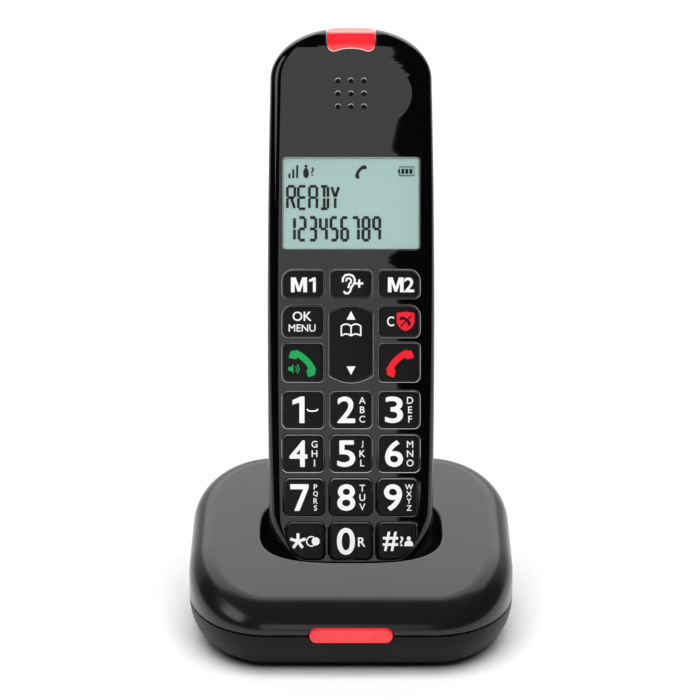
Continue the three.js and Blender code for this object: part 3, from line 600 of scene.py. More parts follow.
def add_piece(name, mesh, matrix, body, slot, nodes=(), angle=32.0, finish=None):
    """A mesh in millimetres as a piece of the phone, smooth up to an angle between faces."""
    mesh.transform(matrix)
    mesh.name = name
    piece = linked(name, mesh)
    mesh.shade_smooth()
    mesh.set_sharp_from_angle(angle=math.radians(angle))
    mesh.materials.clear()
    mesh.materials.append(finish_named(finish or slot))
    normals = piece.modifiers.new("normals", "WEIGHTED_NORMAL")
    normals.keep_sharp = True
    normals.weight = 100
    piece.visible_glossy = matrix is BASE
    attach(piece, body)
    if nodes:
        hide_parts(*nodes)
    return piece


# ---- Outlines ----


def round_corners(corners, half_width, half_height, steps):
    """Points round a box's corners: side, side, radius and first angle in degrees of each."""
    points = []
    for side_x, side_y, radius, start in corners:
        for i in range(steps + 1):
            angle = math.radians(start + 90 * i / steps)
            x = side_x * (half_width - radius) + radius * math.cos(angle)
            y = side_y * (half_height - radius) + radius * math.sin(angle)
            points.append((x, y))
    return points


def rounded_outline(width, height, radii, steps=10):
    """Points round a rectangle; the radii run clockwise from the upper right corner."""
    upper_right, lower_right, lower_left, upper_left = radii
    corners = [
        (1, 1, upper_right, 0),
        (-1, 1, upper_left, 90),
        (-1, -1, lower_left, 180),
        (1, -1, lower_right, 270),
    ]
    return round_corners(corners, width / 2, height / 2, steps)


def arched_outline(width, height, arch, steps=16):
    """Straight sides and arched ends."""
    half, top = width / 2, height / 2 - arch
    points = []
    for side in (1, -1):
        for i in range(steps + 1):
            across = 1 - 2 * i / steps
            points.append((side * half * across, side * (top + arch * (1 - across**2))))
    return points


def prism(outline, levels, centre=(0, 0)):
    """A solid through outlines in X and Z at given levels of Y: (y, outline) pairs."""
    rings = []
    for y, points in ((y, outline(grow)) for y, grow in levels):
        rings.append([(centre[0] + x, y, centre[1] + z) for x, z in points])
    return loft(rings)


# ---- The base's shape, in its own frame: middle of its plan, standing at zero ----

TOP_SLOPE = math.tan(LEAN)
MID_HEIGHT = 30.0
SEAM = middle_of("base_light_lens").z
SEAM_GAP = 0.3
MOVING_GAP = 0.35  # round a button, a key or a sprung contact
SCREW_RECESS = 2.8
VENT_REACH = 9
VENT_PITCH = 3
VENT_HALF_WIDTH = 0.7
UNDERSIDE = 1.0
TUCK = 8.0
CORNER = {"x": 24.0, "back": 26.0, "front": 33.0}
POCKET = {"setback": -1.0, "depth": 15.0, "floor": 0.8, "side": 2.32, "face": 1.9, "square": 3.0}
RING_POINTS = 160


def top_at(y):
    return MID_HEIGHT + y * TOP_SLOPE


def in_plan(x, y, inset):
    """Whether a point lies in the base's plan, drawn in by an inset."""
    half_x, half_y = BASE_HALF.x - inset, BASE_HALF.y - inset
    radius_x = CORNER["x"] - inset
    radius_y = CORNER["back" if y > 0 else "front"] - inset
    over_x, over_y = abs(x) - (half_x - radius_x), abs(y) - (half_y - radius_y)
    if over_x <= 0 or over_y <= 0:
        return abs(x) <= half_x and abs(y) <= half_y
    return (over_x / radius_x) ** 2 + (over_y / radius_y) ** 2 <= 1


def plan_reach(angle, inset):
    """How far the plan goes from the pocket's middle, in one direction."""
    near, far = 0.0, 2 * BASE_HALF.x
    for _ in range(26):
        middle = (near + far) / 2
        x = middle * math.cos(angle)
        y = POCKET["setback"] + middle * math.sin(angle)
        near, far = (middle, far) if in_plan(x, y, inset) else (near, middle)
    return near


def plan_ring(inset, height_at):
    ring = []
    for angle in PLAN_ANGLES:
        reach = plan_reach(angle, inset)
        x, y = reach * math.cos(angle), POCKET["setback"] + reach * math.sin(angle)
        ring.append(Vector((x, y, height_at(y))))
    return ring


def end_round(from_end, length, power):
    """One where the end's curve is over, falling to nothing at the end itself."""
    t = min(max(from_end / length, 0.0), 1.0)
    return (1 - (1 - t) ** power) ** (1 / power)


def pocket_ring(level, wall=0.0, grow=0.0, below=0.0):
    """A section of the pocket, from its floor at 0 to its mouth at 1, in the base's frame."""
    mouth_tilt = 2 * LEAN
    width = (HANDSET_HALF_WIDTH + POCKET["side"]) * end_round(level, 1, 2.2) + wall + grow
    depth = (HALF_THICKNESS + POCKET["face"]) * end_round(level, 1, 4) + wall + grow
    travel = POCKET["depth"] + POCKET["floor"]
    centre = level * travel - POCKET["floor"] - wall * (1 - level)
    power = POCKET["square"]
    sink = Vector((0, math.sin(mouth_tilt), -math.cos(mouth_tilt))) * below
    ring = []
    for i in range(RING_POINTS):
        turn = 2 * math.pi * i / RING_POINTS
        angle = math.atan2(depth * math.sin(turn), width * math.cos(turn))
        cosine, sine = abs(math.cos(angle)) / width, abs(math.sin(angle)) / depth
        reach = (cosine**power + sine**power) ** (-1 / power)
        x, y = reach * math.cos(angle), reach * math.sin(angle)
        place = Vector((x, y, centre + y * math.tan(mouth_tilt * level))) + sink
        ring.append(HANDSET_TO_BASE @ place)
    return ring


PLAN_ANGLES = [
    math.atan2(point.y - POCKET["setback"], point.x) for point in pocket_ring(1.0)
]


def quarter(steps):
    """Angles of a quarter turn, both ends included."""
    return [math.pi / 2 * i / steps for i in range(steps + 1)]


def base_top_mesh():
    wall, fillet, lip = sizes().wall, sizes().base_fillet, sizes().lip
    low = SEAM + SEAM_GAP / 2
    levels = [0.01, 0.03, 0.07, 0.12, 0.2, 0.3, 0.42, 0.55, 0.68, 0.8, 0.9]
    rings = [pocket_ring(level) for level in levels]
    for angle in quarter(6):
        grow, below = lip * (1 - math.cos(angle)), lip * (1 - math.sin(angle))
        rings.append(pocket_ring(1.0, grow=grow, below=below))
    for angle in reversed(quarter(12)):
        inset, share = fillet * (1 - math.cos(angle)), 1 - math.sin(angle)
        rings.append(plan_ring(
            inset,
            lambda y, share=share: top_at(y) - min(fillet, top_at(y) - low - 0.6) * share,
        ))
    soft = sizes().rim * 2
    for angle in quarter(3):
        level = low + soft * (1 - math.sin(angle))
        rings.append(plan_ring(soft * (1 - math.cos(angle)), lambda y, level=level: level))
    rings.append(plan_ring(wall, lambda y: low))
    inner = fillet - wall
    for angle in quarter(4):
        inset = wall + inner * (1 - math.cos(angle))
        below = wall + inner * (1 - math.sin(angle))
        rings.append(plan_ring(inset, lambda y, below=below: top_at(y) - below))
    rings += [pocket_ring(level, wall=wall) for level in (0.85, 0.6, 0.4, 0.2, 0.08, 0.02)]
    floor = HANDSET_TO_BASE @ Vector((0, 0, -POCKET["floor"]))
    under = HANDSET_TO_BASE @ Vector((0, 0, -POCKET["floor"] - wall))
    return loft(rings, floor, under)


def base_bottom_mesh():
    wall, rim = sizes().wall, SEAM - SEAM_GAP / 2
    rings = [plan_ring(inset, lambda y: UNDERSIDE) for inset in (20, 14, TUCK + 1)]
    steps = 12
    for i in range(steps + 1):
        height = UNDERSIDE + (rim - 0.3 - UNDERSIDE) * (i / steps) ** 1.6
        down = (SEAM - height) / (SEAM - UNDERSIDE)
        tuck = TUCK * (1 - math.sqrt(max(1 - down**2, 0)))
        rings.append(plan_ring(tuck, lambda y, height=height: height + 0.02))
    for inset, height in ((0.08, rim - 0.08), (0.3, rim), (wall, rim)):
        rings.append(plan_ring(inset, lambda y, height=height: height))
    for i in range(5):
        height = rim + (UNDERSIDE + wall - rim) * (i + 1) / 5
        down = min((SEAM - height) / (SEAM - UNDERSIDE), 1)
        tuck = wall + TUCK * (1 - math.sqrt(1 - down**2))
        rings.append(plan_ring(tuck, lambda y, height=height: height))
    setback = POCKET["setback"]
    return loft(rings, (0, setback, UNDERSIDE), (0, setback, UNDERSIDE + wall))


def base_box(node):
    """A node's span in the base's frame, in millimetres."""
    low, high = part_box(node)
    return BASE_INVERSE @ low, BASE_INVERSE @ high


def node_hole(node, grow, past_back=0.0):
    low, high = base_box(node)
    return box_mesh(
        (low.x - grow, high.x + grow),
        (low.y - grow, high.y + grow + past_back),
        (low.z - grow, high.z + grow),
    )


def lens_outline(grow):
    size = size_of("base_light_lens")
    width, height = size.x + 2 * grow, size.z + 2 * grow
    return rounded_outline(width, height, [height / 2 * 0.96] * 4)


def lens_hole():
    """The opening for the base's light, with a softened edge, as wide as its clearance."""
    front, rim = -BASE_HALF.y, sizes().rim
    levels = [(front + 6, SEAM_GAP), (front + rim, SEAM_GAP), (front, SEAM_GAP + rim),
              (front - 4, SEAM_GAP + rim)]
    return prism(lens_outline, levels, (0, SEAM))


def contact_slots():
    slots = []
    for side in ("left", "right"):
        low, high = handset_span(f"charge_contact_{side}")
        gap = MOVING_GAP
        slot = box_mesh((low.x - gap, high.x + gap), (low.y - gap, high.y + gap), (-6, 1.5))
        slot.transform(HANDSET_TO_BASE)
        slots.append(slot)
    return slots


def button_hole():
    low, high = base_box("page_button")
    middle = (low + high) / 2
    radius = (high.x - low.x) / 2 + MOVING_GAP
    back = BASE_HALF.y - middle.y
    rim = sizes().rim * 2
    profile = [(radius, -6), (radius, back - rim), (radius + rim, back), (radius + rim, back + 4)]
    return turned(profile, (0, 1, 0), middle)


def hole_from_below(node, depth):
    """A round cutter with a clearance about a node under the base."""
    low, high = base_box(node)
    radius = (high.x - low.x) / 2 + SEAM_GAP
    middle = (low + high) / 2
    return turned([(radius, 0), (radius, depth)], (0, 0, 1), (middle.x, middle.y, 0))


def socket_holes():
    return [node_hole(node, SEAM_GAP, 4) for node in ("power_socket", "line_socket")]


def make_base_casings():
    upper = base_top_mesh()
    upper = cut(upper, *socket_holes(), lens_hole(), button_hole(), *contact_slots())
    add_piece("base_upper_casing", upper, BASE, "base", "gloss_black", ["base_top_shell"],
              finish="base_gloss_painted_light")
    lower = base_bottom_mesh()
    holes = socket_holes()
    for i in range(1, 5):
        foot_top = base_box(f"base_foot_{i}")[1].z
        holes.append(hole_from_below(f"base_foot_{i}", foot_top + SEAM_GAP))
        holes.append(hole_from_below(f"base_screw_{i}", SCREW_RECESS))
    vents = [box_mesh((x - VENT_HALF_WIDTH, x + VENT_HALF_WIDTH), (-VENT_REACH, VENT_REACH), (0, 4))
             for x in range(-VENT_REACH, VENT_REACH + 1, VENT_PITCH)]
    lower = cut(lower, *holes, lens_hole(), merged(vents))
    add_piece("base_lower_casing", lower, BASE, "base", "satin_black", ["base_bottom_shell"])


# ---- The handset's shape, in its own frame ----

WAIST = {"height": 78.0, "taper": 1.66e-4}
LOWER_END = {"length": 20.0, "edge": 6.0}
UPPER_END = {"length": 15.8, "edge": 7.0}
EDGE_CURVE = 2.4
SPLIT = 0.15  # half the gap between the handset's two casings
FAR = 2 * HANDSET_LENGTH  # past everything
FAR_OUT = 20  # past the handset's back
SCREW_SEAT = 9.6
MICROPHONE_HEIGHT = 5.5


def half_width(height):
    belly = HANDSET_HALF_WIDTH - WAIST["taper"] * (height - WAIST["height"]) ** 2
    lower = end_round(height, LOWER_END["length"], 2)
    upper = end_round(HANDSET_LENGTH - height, UPPER_END["length"], 2)
    return belly * min(lower, upper)


def half_depth(height):
    lower = end_round(height, LOWER_END["edge"], EDGE_CURVE)
    upper = end_round(HANDSET_LENGTH - height, UPPER_END["edge"], EDGE_CURVE)
    return HALF_THICKNESS * min(lower, upper)


def handset_section(height, inset, steps=9):
    width = max(half_width(height) - inset, 0.2)
    depth = max(half_depth(height) - inset, 0.2)
    room = 0.9 * min(width, depth)
    front = min(sizes().front_edge - min(inset, sizes().front_edge / 2), room)
    back = min(sizes().back_edge - inset, room)
    corners = [(1, -1, front, -90), (1, 1, back, 0), (-1, 1, back, 90), (-1, -1, front, 180)]
    return [(x, y, height) for x, y in round_corners(corners, width, depth, steps)]


def handset_stations(inset):
    ends = 22
    lower = [LOWER_END["length"] * (i / ends) ** 2 for i in range(1, ends + 1)]
    upper = [HANDSET_LENGTH - UPPER_END["length"] * (i / ends) ** 2 for i in range(ends, 0, -1)]
    start, end = lower[-1], upper[0]
    middle = [start + (end - start) * i / 12 for i in range(1, 12)]
    stations = lower + middle + upper
    return [z for z in stations if min(z, HANDSET_LENGTH - z) > max(inset, 0)]


def handset_body(inset=0.0):
    stations = handset_stations(inset)
    rings = [handset_section(height, inset) for height in stations]
    if inset > 0:
        ends = (stations[0] - 0.1, stations[-1] + 0.1)
    else:
        ends = (inset, HANDSET_LENGTH - inset)
    return loft(rings, (0, 0, ends[0]), (0, 0, ends[1]))


def flared_hole(outline, grow, centre, depth):
    """A cutter through the handset's front, with a softened edge at the surface."""
    front, rim = -HALF_THICKNESS, sizes().rim
    levels = [(front + depth, grow), (front + rim, grow), (front + rim * 0.3, grow + rim * 0.3),
              (front, grow + rim), (front - 6, grow + rim)]
    return prism(outline, levels, centre)


def front_extent(node):
    """Middle and size, across and along, of a node in the handset's frame."""
    low, high = handset_span(node)
    middle = ((low.x + high.x) / 2, (low.z + high.z) / 2)
    return middle, (high.x - low.x, high.z - low.z)


def node_outline(node, radii=None):
    """The outline of a flat-sided node of the handset's front, and its middle."""
    middle, size = front_extent(node)
    return key_outline_of(node, *size, radii), middle


KEY_CORNER = 1.5
LOWER_CORNER = 6.5
UPPER_CORNER = 3.0
NAV_ARCH = 2.2
OUTER_CORNERS = {
    "key_star": (LOWER_CORNER, KEY_CORNER), "key_hash": (LOWER_CORNER, KEY_CORNER),
    "key_ok_menu": (KEY_CORNER, UPPER_CORNER), "key_c": (KEY_CORNER, UPPER_CORNER),
    "key_m1": (KEY_CORNER, UPPER_CORNER), "key_m2": (KEY_CORNER, UPPER_CORNER),
}


def key_outline_of(node, width, height, radii=None):
    if node == "key_nav":
        reach = height / 2 - NAV_ARCH / 2
        return lambda grow: arched_outline(
            width + 2 * grow, 2 * reach + NAV_ARCH + 2 * grow, NAV_ARCH
        )
    lower, upper = OUTER_CORNERS.get(node, (KEY_CORNER, KEY_CORNER))
    if radii is None:
        inner = KEY_CORNER
        on_left = middle_of(node).x < 0
        radii = (inner, inner, lower, upper) if on_left else (upper, lower, inner, inner)

    def outline(grow):
        corners = [max(radius + grow, 0.15) for radius in radii]
        return rounded_outline(width + 2 * grow, height + 2 * grow, corners)

    return outline


KEYS = sorted(name for name in frame["nodes"] if name.startswith("key_"))


def upper_lens_outline(grow, steps=12):
    """The light at the handset's top, whose lower edge is arched; it runs over the end."""
    size = size_of("handset_light_lens")
    reach, corner, arch = size.x / 2 + grow, 2.2 + grow, 0.9
    bottom, top = HANDSET_LENGTH - 8 - grow, HANDSET_LENGTH + 4

    def bend(start, control, end):
        for i in range(steps + 1):
            t = i / steps
            yield tuple((1 - t) ** 2 * start[k] + 2 * t * (1 - t) * control[k] + t * t * end[k]
                        for k in (0, 1))

    points = [(reach, top), (-reach, top)]
    points += bend((-reach, bottom + corner), (-reach, bottom), (corner - reach, bottom))
    points += bend((corner - reach, bottom), (0, bottom + 2 * arch), (reach - corner, bottom))
    points += bend((reach - corner, bottom), (reach, bottom), (reach, bottom + corner))
    return points


EAR_CENTRE = HANDSET_LENGTH - 20.5
EAR_DEPTH = 0.3


def ear_dish():
    radius, squash, depth, centre = 18.0, 0.66, EAR_DEPTH, EAR_CENTRE
    rings = []
    for i in range(14):
        t = (i + 1) / 14
        y = -HALF_THICKNESS + depth * (1 - t * t)
        rings.append([
            (radius * t * math.cos(turn), y, centre + radius * t * squash * math.sin(turn))
            for turn in (2 * math.pi * k / 72 for k in range(72))
        ])
    rings.append([(x, -HALF_THICKNESS - 3, z) for x, _, z in rings[-1]])
    tip = (0, -HALF_THICKNESS + depth, centre)
    return loft(rings, tip, (0, -HALF_THICKNESS - 3, centre))


def ear_holes():
    centre, pitch, radius = EAR_CENTRE, 3.8, 0.82
    floor = -HALF_THICKNESS + EAR_DEPTH
    return merged([
        bore(radius, -4, 2.5, (across * pitch, floor - 0.2, centre + up * pitch))
        for across in (-1, 0, 1) for up in (-1, 0, 1)
    ])


def half_shell(cut_away):
    """The hollow handset without what lies in a span of its thickness."""
    shell = boolean(handset_body(), handset_body(sizes().wall))
    return boolean(shell, box_mesh((-FAR, FAR), cut_away, (-FAR, FAR)))


def bore(radius, start, end, centre, sides=20):
    """A round cutter along the handset's thickness."""
    return turned([(radius, start), (radius, end)], (0, 1, 0), centre, sides)


def front_casing():
    mesh = half_shell((-SPLIT, FAR))
    holes = []
    for key in KEYS:
        outline, middle = node_outline(key)
        holes.append(flared_hole(outline, MOVING_GAP, middle, 4))
    mesh = boolean(mesh, merged(holes))
    outline, middle = node_outline("display_window", [0.8] * 4)
    mesh = cut(
        mesh, flared_hole(outline, SEAM_GAP * 0.5, middle, 1.5), ear_dish(), ear_holes(),
        prism(upper_lens_outline, [(-0.01, SEAM_GAP), (-30, SEAM_GAP)]),
        bore(0.8, -4, 4, (0, -HALF_THICKNESS, MICROPHONE_HEIGHT)),
    )
    return mesh


def back_casing():
    mesh = half_shell((-FAR, SPLIT))
    low, high = handset_span("battery_door")
    gap, ledge, overlap, tray = SEAM_GAP, 2.0, 2.0, 1.3
    door = box_mesh(
        (low.x - gap, high.x + gap), (low.y - gap, FAR), (low.z - gap, high.z + gap)
    )
    floor = handset_span("battery_cell_left")[0].y - gap
    seat = box_mesh(
        (low.x - ledge, high.x + ledge), (low.y - gap - ledge, HALF_THICKNESS - 1),
        (low.z - ledge, high.z + ledge),
    )
    inside = [(low.x + overlap, high.x - overlap), (low.z + overlap, high.z - overlap)]
    box = box_mesh(
        (inside[0][0] - tray, inside[0][1] + tray), (floor - tray, HALF_THICKNESS - 1),
        (inside[1][0] - tray, inside[1][1] + tray),
    )
    mesh = boolean(mesh, seat, "UNION")
    mesh = boolean(mesh, box, "UNION")
    holes = [box_mesh(inside[0], (floor, FAR), inside[1]), door]
    for side in ("left", "right"):
        low, high = handset_span(f"handset_screw_{side}")
        radius = (high.x - low.x) / 2 + gap
        centre = ((low.x + high.x) / 2, 0, (low.z + high.z) / 2)
        holes.append(bore(radius, SCREW_SEAT, FAR_OUT, centre, 48))
    low, high = handset_span("loudspeaker")
    centre = (low + high) / 2
    places = [(0, 0)]
    places += [(5 * math.cos(math.pi * i / 3), 5 * math.sin(math.pi * i / 3)) for i in range(6)]
    holes.append(merged([
        bore(0.9, 8, FAR_OUT, (x, 0, centre.z + z)) for x, z in places
    ]))
    return cut(mesh, *holes)


def door_mesh():
    low, high = handset_span("battery_door")
    block = box_mesh((low.x, high.x), (low.y, FAR), (low.z, high.z))
    mesh = boolean(handset_body(), block, "INTERSECT")
    grip = [
        box_mesh((-6, 6), (HALF_THICKNESS - 0.3, FAR), (z - 0.35, z + 0.35))
        for z in [high.z - 14 + 1.6 * i for i in range(6)]
    ]
    return cut(mesh, merged(grip))


def make_handset_casings():
    add_piece("handset_front_casing", front_casing(), HANDSET, "handset", "gloss_black",
              ["handset_front_shell"])
    add_piece("handset_back_casing", back_casing(), HANDSET, "handset", "satin_black",
              ["handset_back_shell"])
    add_piece("battery_cover", door_mesh(), HANDSET, "battery_door", "satin_black",
              ["battery_door"])


# ---- Keys ----

KEY_EDGE = 0.55  # radius round a key's top


def key_top(key, x, z):
    """The level of a key's crowned top at a point of the handset's front."""
    (middle_x, middle_z), (width, height) = front_extent(key)
    away = ((x - middle_x) * 2 / width) ** 2 + ((z - middle_z) * 2 / height) ** 2
    return -HALF_THICKNESS - sizes().key_rise + sizes().key_dome * 0.5 * away


def key_mesh(key):
    outline, (middle_x, middle_z) = node_outline(key)
    edge = KEY_EDGE
    back = handset_span(key)[1].y
    rings = [[(middle_x + x, back, middle_z + z) for x, z in outline(0)]]
    for angle in quarter(5):
        shrink, sink = edge * (1 - math.cos(angle)), edge * (1 - math.sin(angle))
        points = [(middle_x + x, middle_z + z) for x, z in outline(-shrink)]
        rings.append([(x, key_top(key, x, z) + sink, z) for x, z in points])
    rim = [(x, z) for x, _, z in rings[-1]]
    for share in (0.8, 0.6, 0.4, 0.2):
        points = [(middle_x + (x - middle_x) * share, middle_z + (z - middle_z) * share)
                  for x, z in rim]
        rings.append([(x, key_top(key, x, z), z) for x, z in points])
    last = (middle_x, key_top(key, middle_x, middle_z), middle_z)
    return loft(rings, (middle_x, back, middle_z), last)


def make_keys():
    for key in KEYS:
        add_piece(f"{key}_cap", key_mesh(key), HANDSET, key, "key_black", [key], 50)


# ---- Legends: outlines in millimetres about a point, with X right and Z up ----


def fitted(points, centre, width, height):
    """Flat points moved and scaled to a box. A missing width keeps the drawing's own."""
    low = [min(point[k] for point in points) for k in (0, 1)]
    high = [max(point[k] for point in points) for k in (0, 1)]
    scale_z = height / (high[1] - low[1])
    scale_x = width / (high[0] - low[0]) if width else scale_z
    return [
        (centre[0] + (x - (low[0] + high[0]) / 2) * scale_x,
         centre[1] + (z - (low[1] + high[1]) / 2) * scale_z)
        for x, z in points
    ]


DIGIT_WEIGHT = 0.17


def lettering(text, centre, height, width=None, weight=0.0):
    """Generic capitals or digits, emboldened all round by a weight in millimetres."""
    flat, faces = plain_lettering(text, (0, 0), height - 2 * weight, width and width - 2 * weight)
    if not weight:
        return [(centre[0] + x, centre[1] + z) for x, z in flat], faces
    steps = [(math.cos(math.pi * i / 4), math.sin(math.pi * i / 4)) for i in range(8)]
    copies = [(0, 0)] + [(weight * x, weight * z) for x, z in steps]
    return together(*[
        ([(centre[0] + dx + x, centre[1] + dz + z) for x, z in flat], faces) for dx, dz in copies
    ])


def plain_lettering(text, centre, height, width):
    """A text in the built-in face as flat triangles: points and faces."""
    curve = bpy.data.curves.new("lettering", "FONT")
    curve.body = text
    curve.size = 1
    curve.resolution_u = 6
    holder = linked("lettering", curve)
    mesh = evaluated_mesh(holder)
    points = [(vertex.co.x, vertex.co.y) for vertex in mesh.vertices]
    faces = [tuple(face.vertices) for face in mesh.polygons]
    bpy.data.objects.remove(holder)
    bpy.data.curves.remove(curve)
    bpy.data.meshes.remove(mesh)
    if not points:
        raise RuntimeError(f"the text {text!r} has no outline")
    return fitted(points, centre, width, height), faces


def line(points, width):
    """A stroke of even width through points."""
    left, right = [], []
    for i, point in enumerate(points):
        before, after = points[max(i - 1, 0)], points[min(i + 1, len(points) - 1)]
        step = Vector((after[0] - before[0], after[1] - before[1])).normalized()
        normal = Vector((-step.y, step.x)) * width / 2
        left.append((point[0] + normal.x, point[1] + normal.y))
        right.append((point[0] - normal.x, point[1] - normal.y))
    count = len(points)
    faces = [(i, i + 1, count + i + 1, count + i) for i in range(count - 1)]
    return left + right, faces


def arc(centre, radius, start, end, squash=1.0, steps=24):
    """Points round part of a circle, in degrees."""
    turns = [math.radians(start + (end - start) * i / steps) for i in range(steps + 1)]
    return [(centre[0] + radius * math.cos(t), centre[1] + radius * squash * math.sin(t))
            for t in turns]


def disc(centre, radius, squash=1.0, sides=28):
    return polygon(arc(centre, radius, 0, 360 - 360 / sides, squash, sides - 1))


def polygon(points):
    return list(points), [tuple(range(len(points)))]


def together(*shapes):
    points, faces = [], []
    for shape_points, shape_faces in shapes:
        start = len(points)
        points += shape_points
        faces += [tuple(start + i for i in face) for face in shape_faces]
    return points, faces


def spun(shape, degrees, centre=(0, 0)):
    angle = math.radians(degrees)
    cosine, sine = math.cos(angle), math.sin(angle)
    points, faces = shape
    return [(centre[0] + x * cosine - z * sine, centre[1] + x * sine + z * cosine)
            for x, z in points], faces


def receiver(length, centre, degrees):
    """A telephone receiver: a bowed bar with a head at each end, its back upwards."""
    half = length / 2
    bow = half * 2.1
    sweep = math.degrees(math.asin(half * 0.8 / bow))
    spine = arc((0, -bow * 0.92), bow, 90 + sweep, 90 - sweep, 1.0, 18)
    bar = line(spine, length * 0.19)
    heads = []
    for side in (-1, 1):
        head = [(x * half * side, z * half) for x, z in (
            (0.62, 0.22), (0.86, 0.12), (1.0, -0.02), (1.02, -0.12), (0.88, -0.42),
            (0.8, -0.46), (0.5, -0.26), (0.45, -0.18), (0.48, -0.08))]
        heads.append(polygon(head if side > 0 else head[::-1]))
    return spun(together(bar, *heads), degrees, centre)


def scaled(centre, width, height, shares):
    """Points given as shares of a width and a height, about a centre."""
    return [(centre[0] + width * x, centre[1] + height * z) for x, z in shares]


def sound(centre, size):
    """A small loudspeaker with two waves."""
    x, z = centre
    horn = polygon(scaled(centre, size, size, (
        (-1, -0.3), (-0.6, -0.3), (-0.1, -0.8), (-0.1, 0.8), (-0.6, 0.3), (-1, 0.3))))
    waves = [line(arc((x - size * 0.1, z), size * reach, -50, 50), size * 0.17)
             for reach in (0.55, 0.95)]
    return together(horn, *waves)


def open_book(centre, width, height):
    """Two outlined pages that meet at a spine."""
    x, z = centre
    strokes = []
    for side in (-1, 1):
        top = [(x + side * width / 2 * t, z + height * (0.32 + 0.16 * math.sin(math.pi * t)))
               for t in (0.0, 0.2, 0.4, 0.6, 0.8, 1.0)]
        bottom = [(px, pz - height * 0.78) for px, pz in top]
        strokes += [line(top, 0.42), line(bottom, 0.42), line([top[-1], bottom[-1]], 0.42)]
    spine = line([(x, z + height * 0.32), (x, z - height * 0.46)], 0.42)
    return together(*strokes, spine)


def ear(centre, height):
    outer = scaled(centre, height, height, (
        (-0.3, 0.1), (-0.3, 0.3), (-0.18, 0.46), (0.02, 0.5), (0.22, 0.43), (0.32, 0.25),
        (0.3, 0.06), (0.2, -0.08), (0.12, -0.2), (0.08, -0.36), (-0.03, -0.48), (-0.17, -0.47),
        (-0.25, -0.36)))
    fold = scaled(centre, height, height, (
        (-0.13, 0.14), (-0.1, 0.28), (0.03, 0.31), (0.13, 0.22), (0.11, 0.08), (0.02, 0.0),
        (0.03, -0.1), (-0.04, -0.19)))
    return together(line(outer, height * 0.105), line(fold, height * 0.095))


def shield(centre, width, height):
    side = [(0.5, 0.95), (1, 0.86), (1, -0.1), (0.8, -0.5), (0.42, -0.84)]
    points = [(0, 1), *side, (0, -1)] + [(-px, pz) for px, pz in reversed(side)]
    return polygon(scaled(centre, width / 2, height / 2, points))


def crescent(centre, radius):
    """A ringed moon."""
    x, z = centre
    return together(
        line(arc((x - radius * 0.45, z), radius * 1.1, 60, 330), radius * 0.3),
        disc((x + radius * 0.55, z), radius * 0.95),
    )


def person(centre, height):
    x, z = centre
    body = scaled(centre, height, height, (
        (-0.48, -0.5), (-0.42, -0.12), (-0.2, 0.06), (0.2, 0.06), (0.42, -0.12), (0.48, -0.5)))
    return together(disc((x, z + height * 0.3), height * 0.21), polygon(body))


def triangle(centre, width, height):
    return polygon(scaled(centre, width, height, ((-0.5, -0.5), (0.5, -0.5), (0, 0.5))))


def glyph_one(centre, width, height):
    """A bold one: a stem with a flag at its top left."""
    corner, stem = (centre[0] + width / 2, centre[1] + height / 2), 0.42
    return polygon(scaled(corner, width, height, (
        (0, -1), (0, 0), (-stem * 0.75, 0), (-1, -0.14), (-1, -0.31), (-stem, -0.23),
        (-stem, -1))))


def glyph_seven(centre, width, height):
    corner = centre[0] - width / 2, centre[1] + height / 2
    return polygon(scaled(corner, width, height, (
        (0, 0), (1, 0), (1, -0.14), (0.5, -1), (0.22, -1), (0.7, -0.19), (0, -0.19))))


def glyph_m(centre, width, height):
    """A bold M: two stems and a V between them."""
    x, z, half, stem = centre[0], centre[1] - height / 2, width / 2, width * 0.23
    left = polygon([(x - half, z), (x - half + stem, z), (x - half + stem, z + height),
                    (x - half, z + height)])
    right = polygon([(x + half - stem, z), (x + half, z), (x + half, z + height),
                     (x + half - stem, z + height)])
    vee = polygon([(x - half + stem * 1.3, z + height), (x, z + height * 0.36),
                   (x + half - stem * 1.3, z + height), (x + half - stem, z + height),
                   (x + half - stem, z + height * 0.66), (x + stem * 0.36, z + height * 0.04),
                   (x - stem * 0.36, z + height * 0.04), (x - half + stem, z + height * 0.66),
                   (x - half + stem, z + height)])
    return together(left, right, vee)


BIG_GLYPHS = {"1": (glyph_one, 3.5), "7": (glyph_seven, 5.4)}


def digit(text, letters):
    """A digit at the left of its key, and its letters at the right."""
    height = sizes().legend_height
    if text in BIG_GLYPHS:
        draw, width = BIG_GLYPHS[text]
        parts = [draw((-1.4, 0), width, height)]
    else:
        parts = [lettering(text, (-1.4, 0), height, 5.3, DIGIT_WEIGHT)]
    if letters:
        pitch, height = (2.05, 1.6) if len(letters) == 4 else (2.75, 2.0)
        start = pitch * (len(letters) - 1) / 2
        parts += [lettering(letter, (3.3, start - i * pitch), height, None, 0.03)
                  for i, letter in enumerate(letters)]
    return together(*parts)


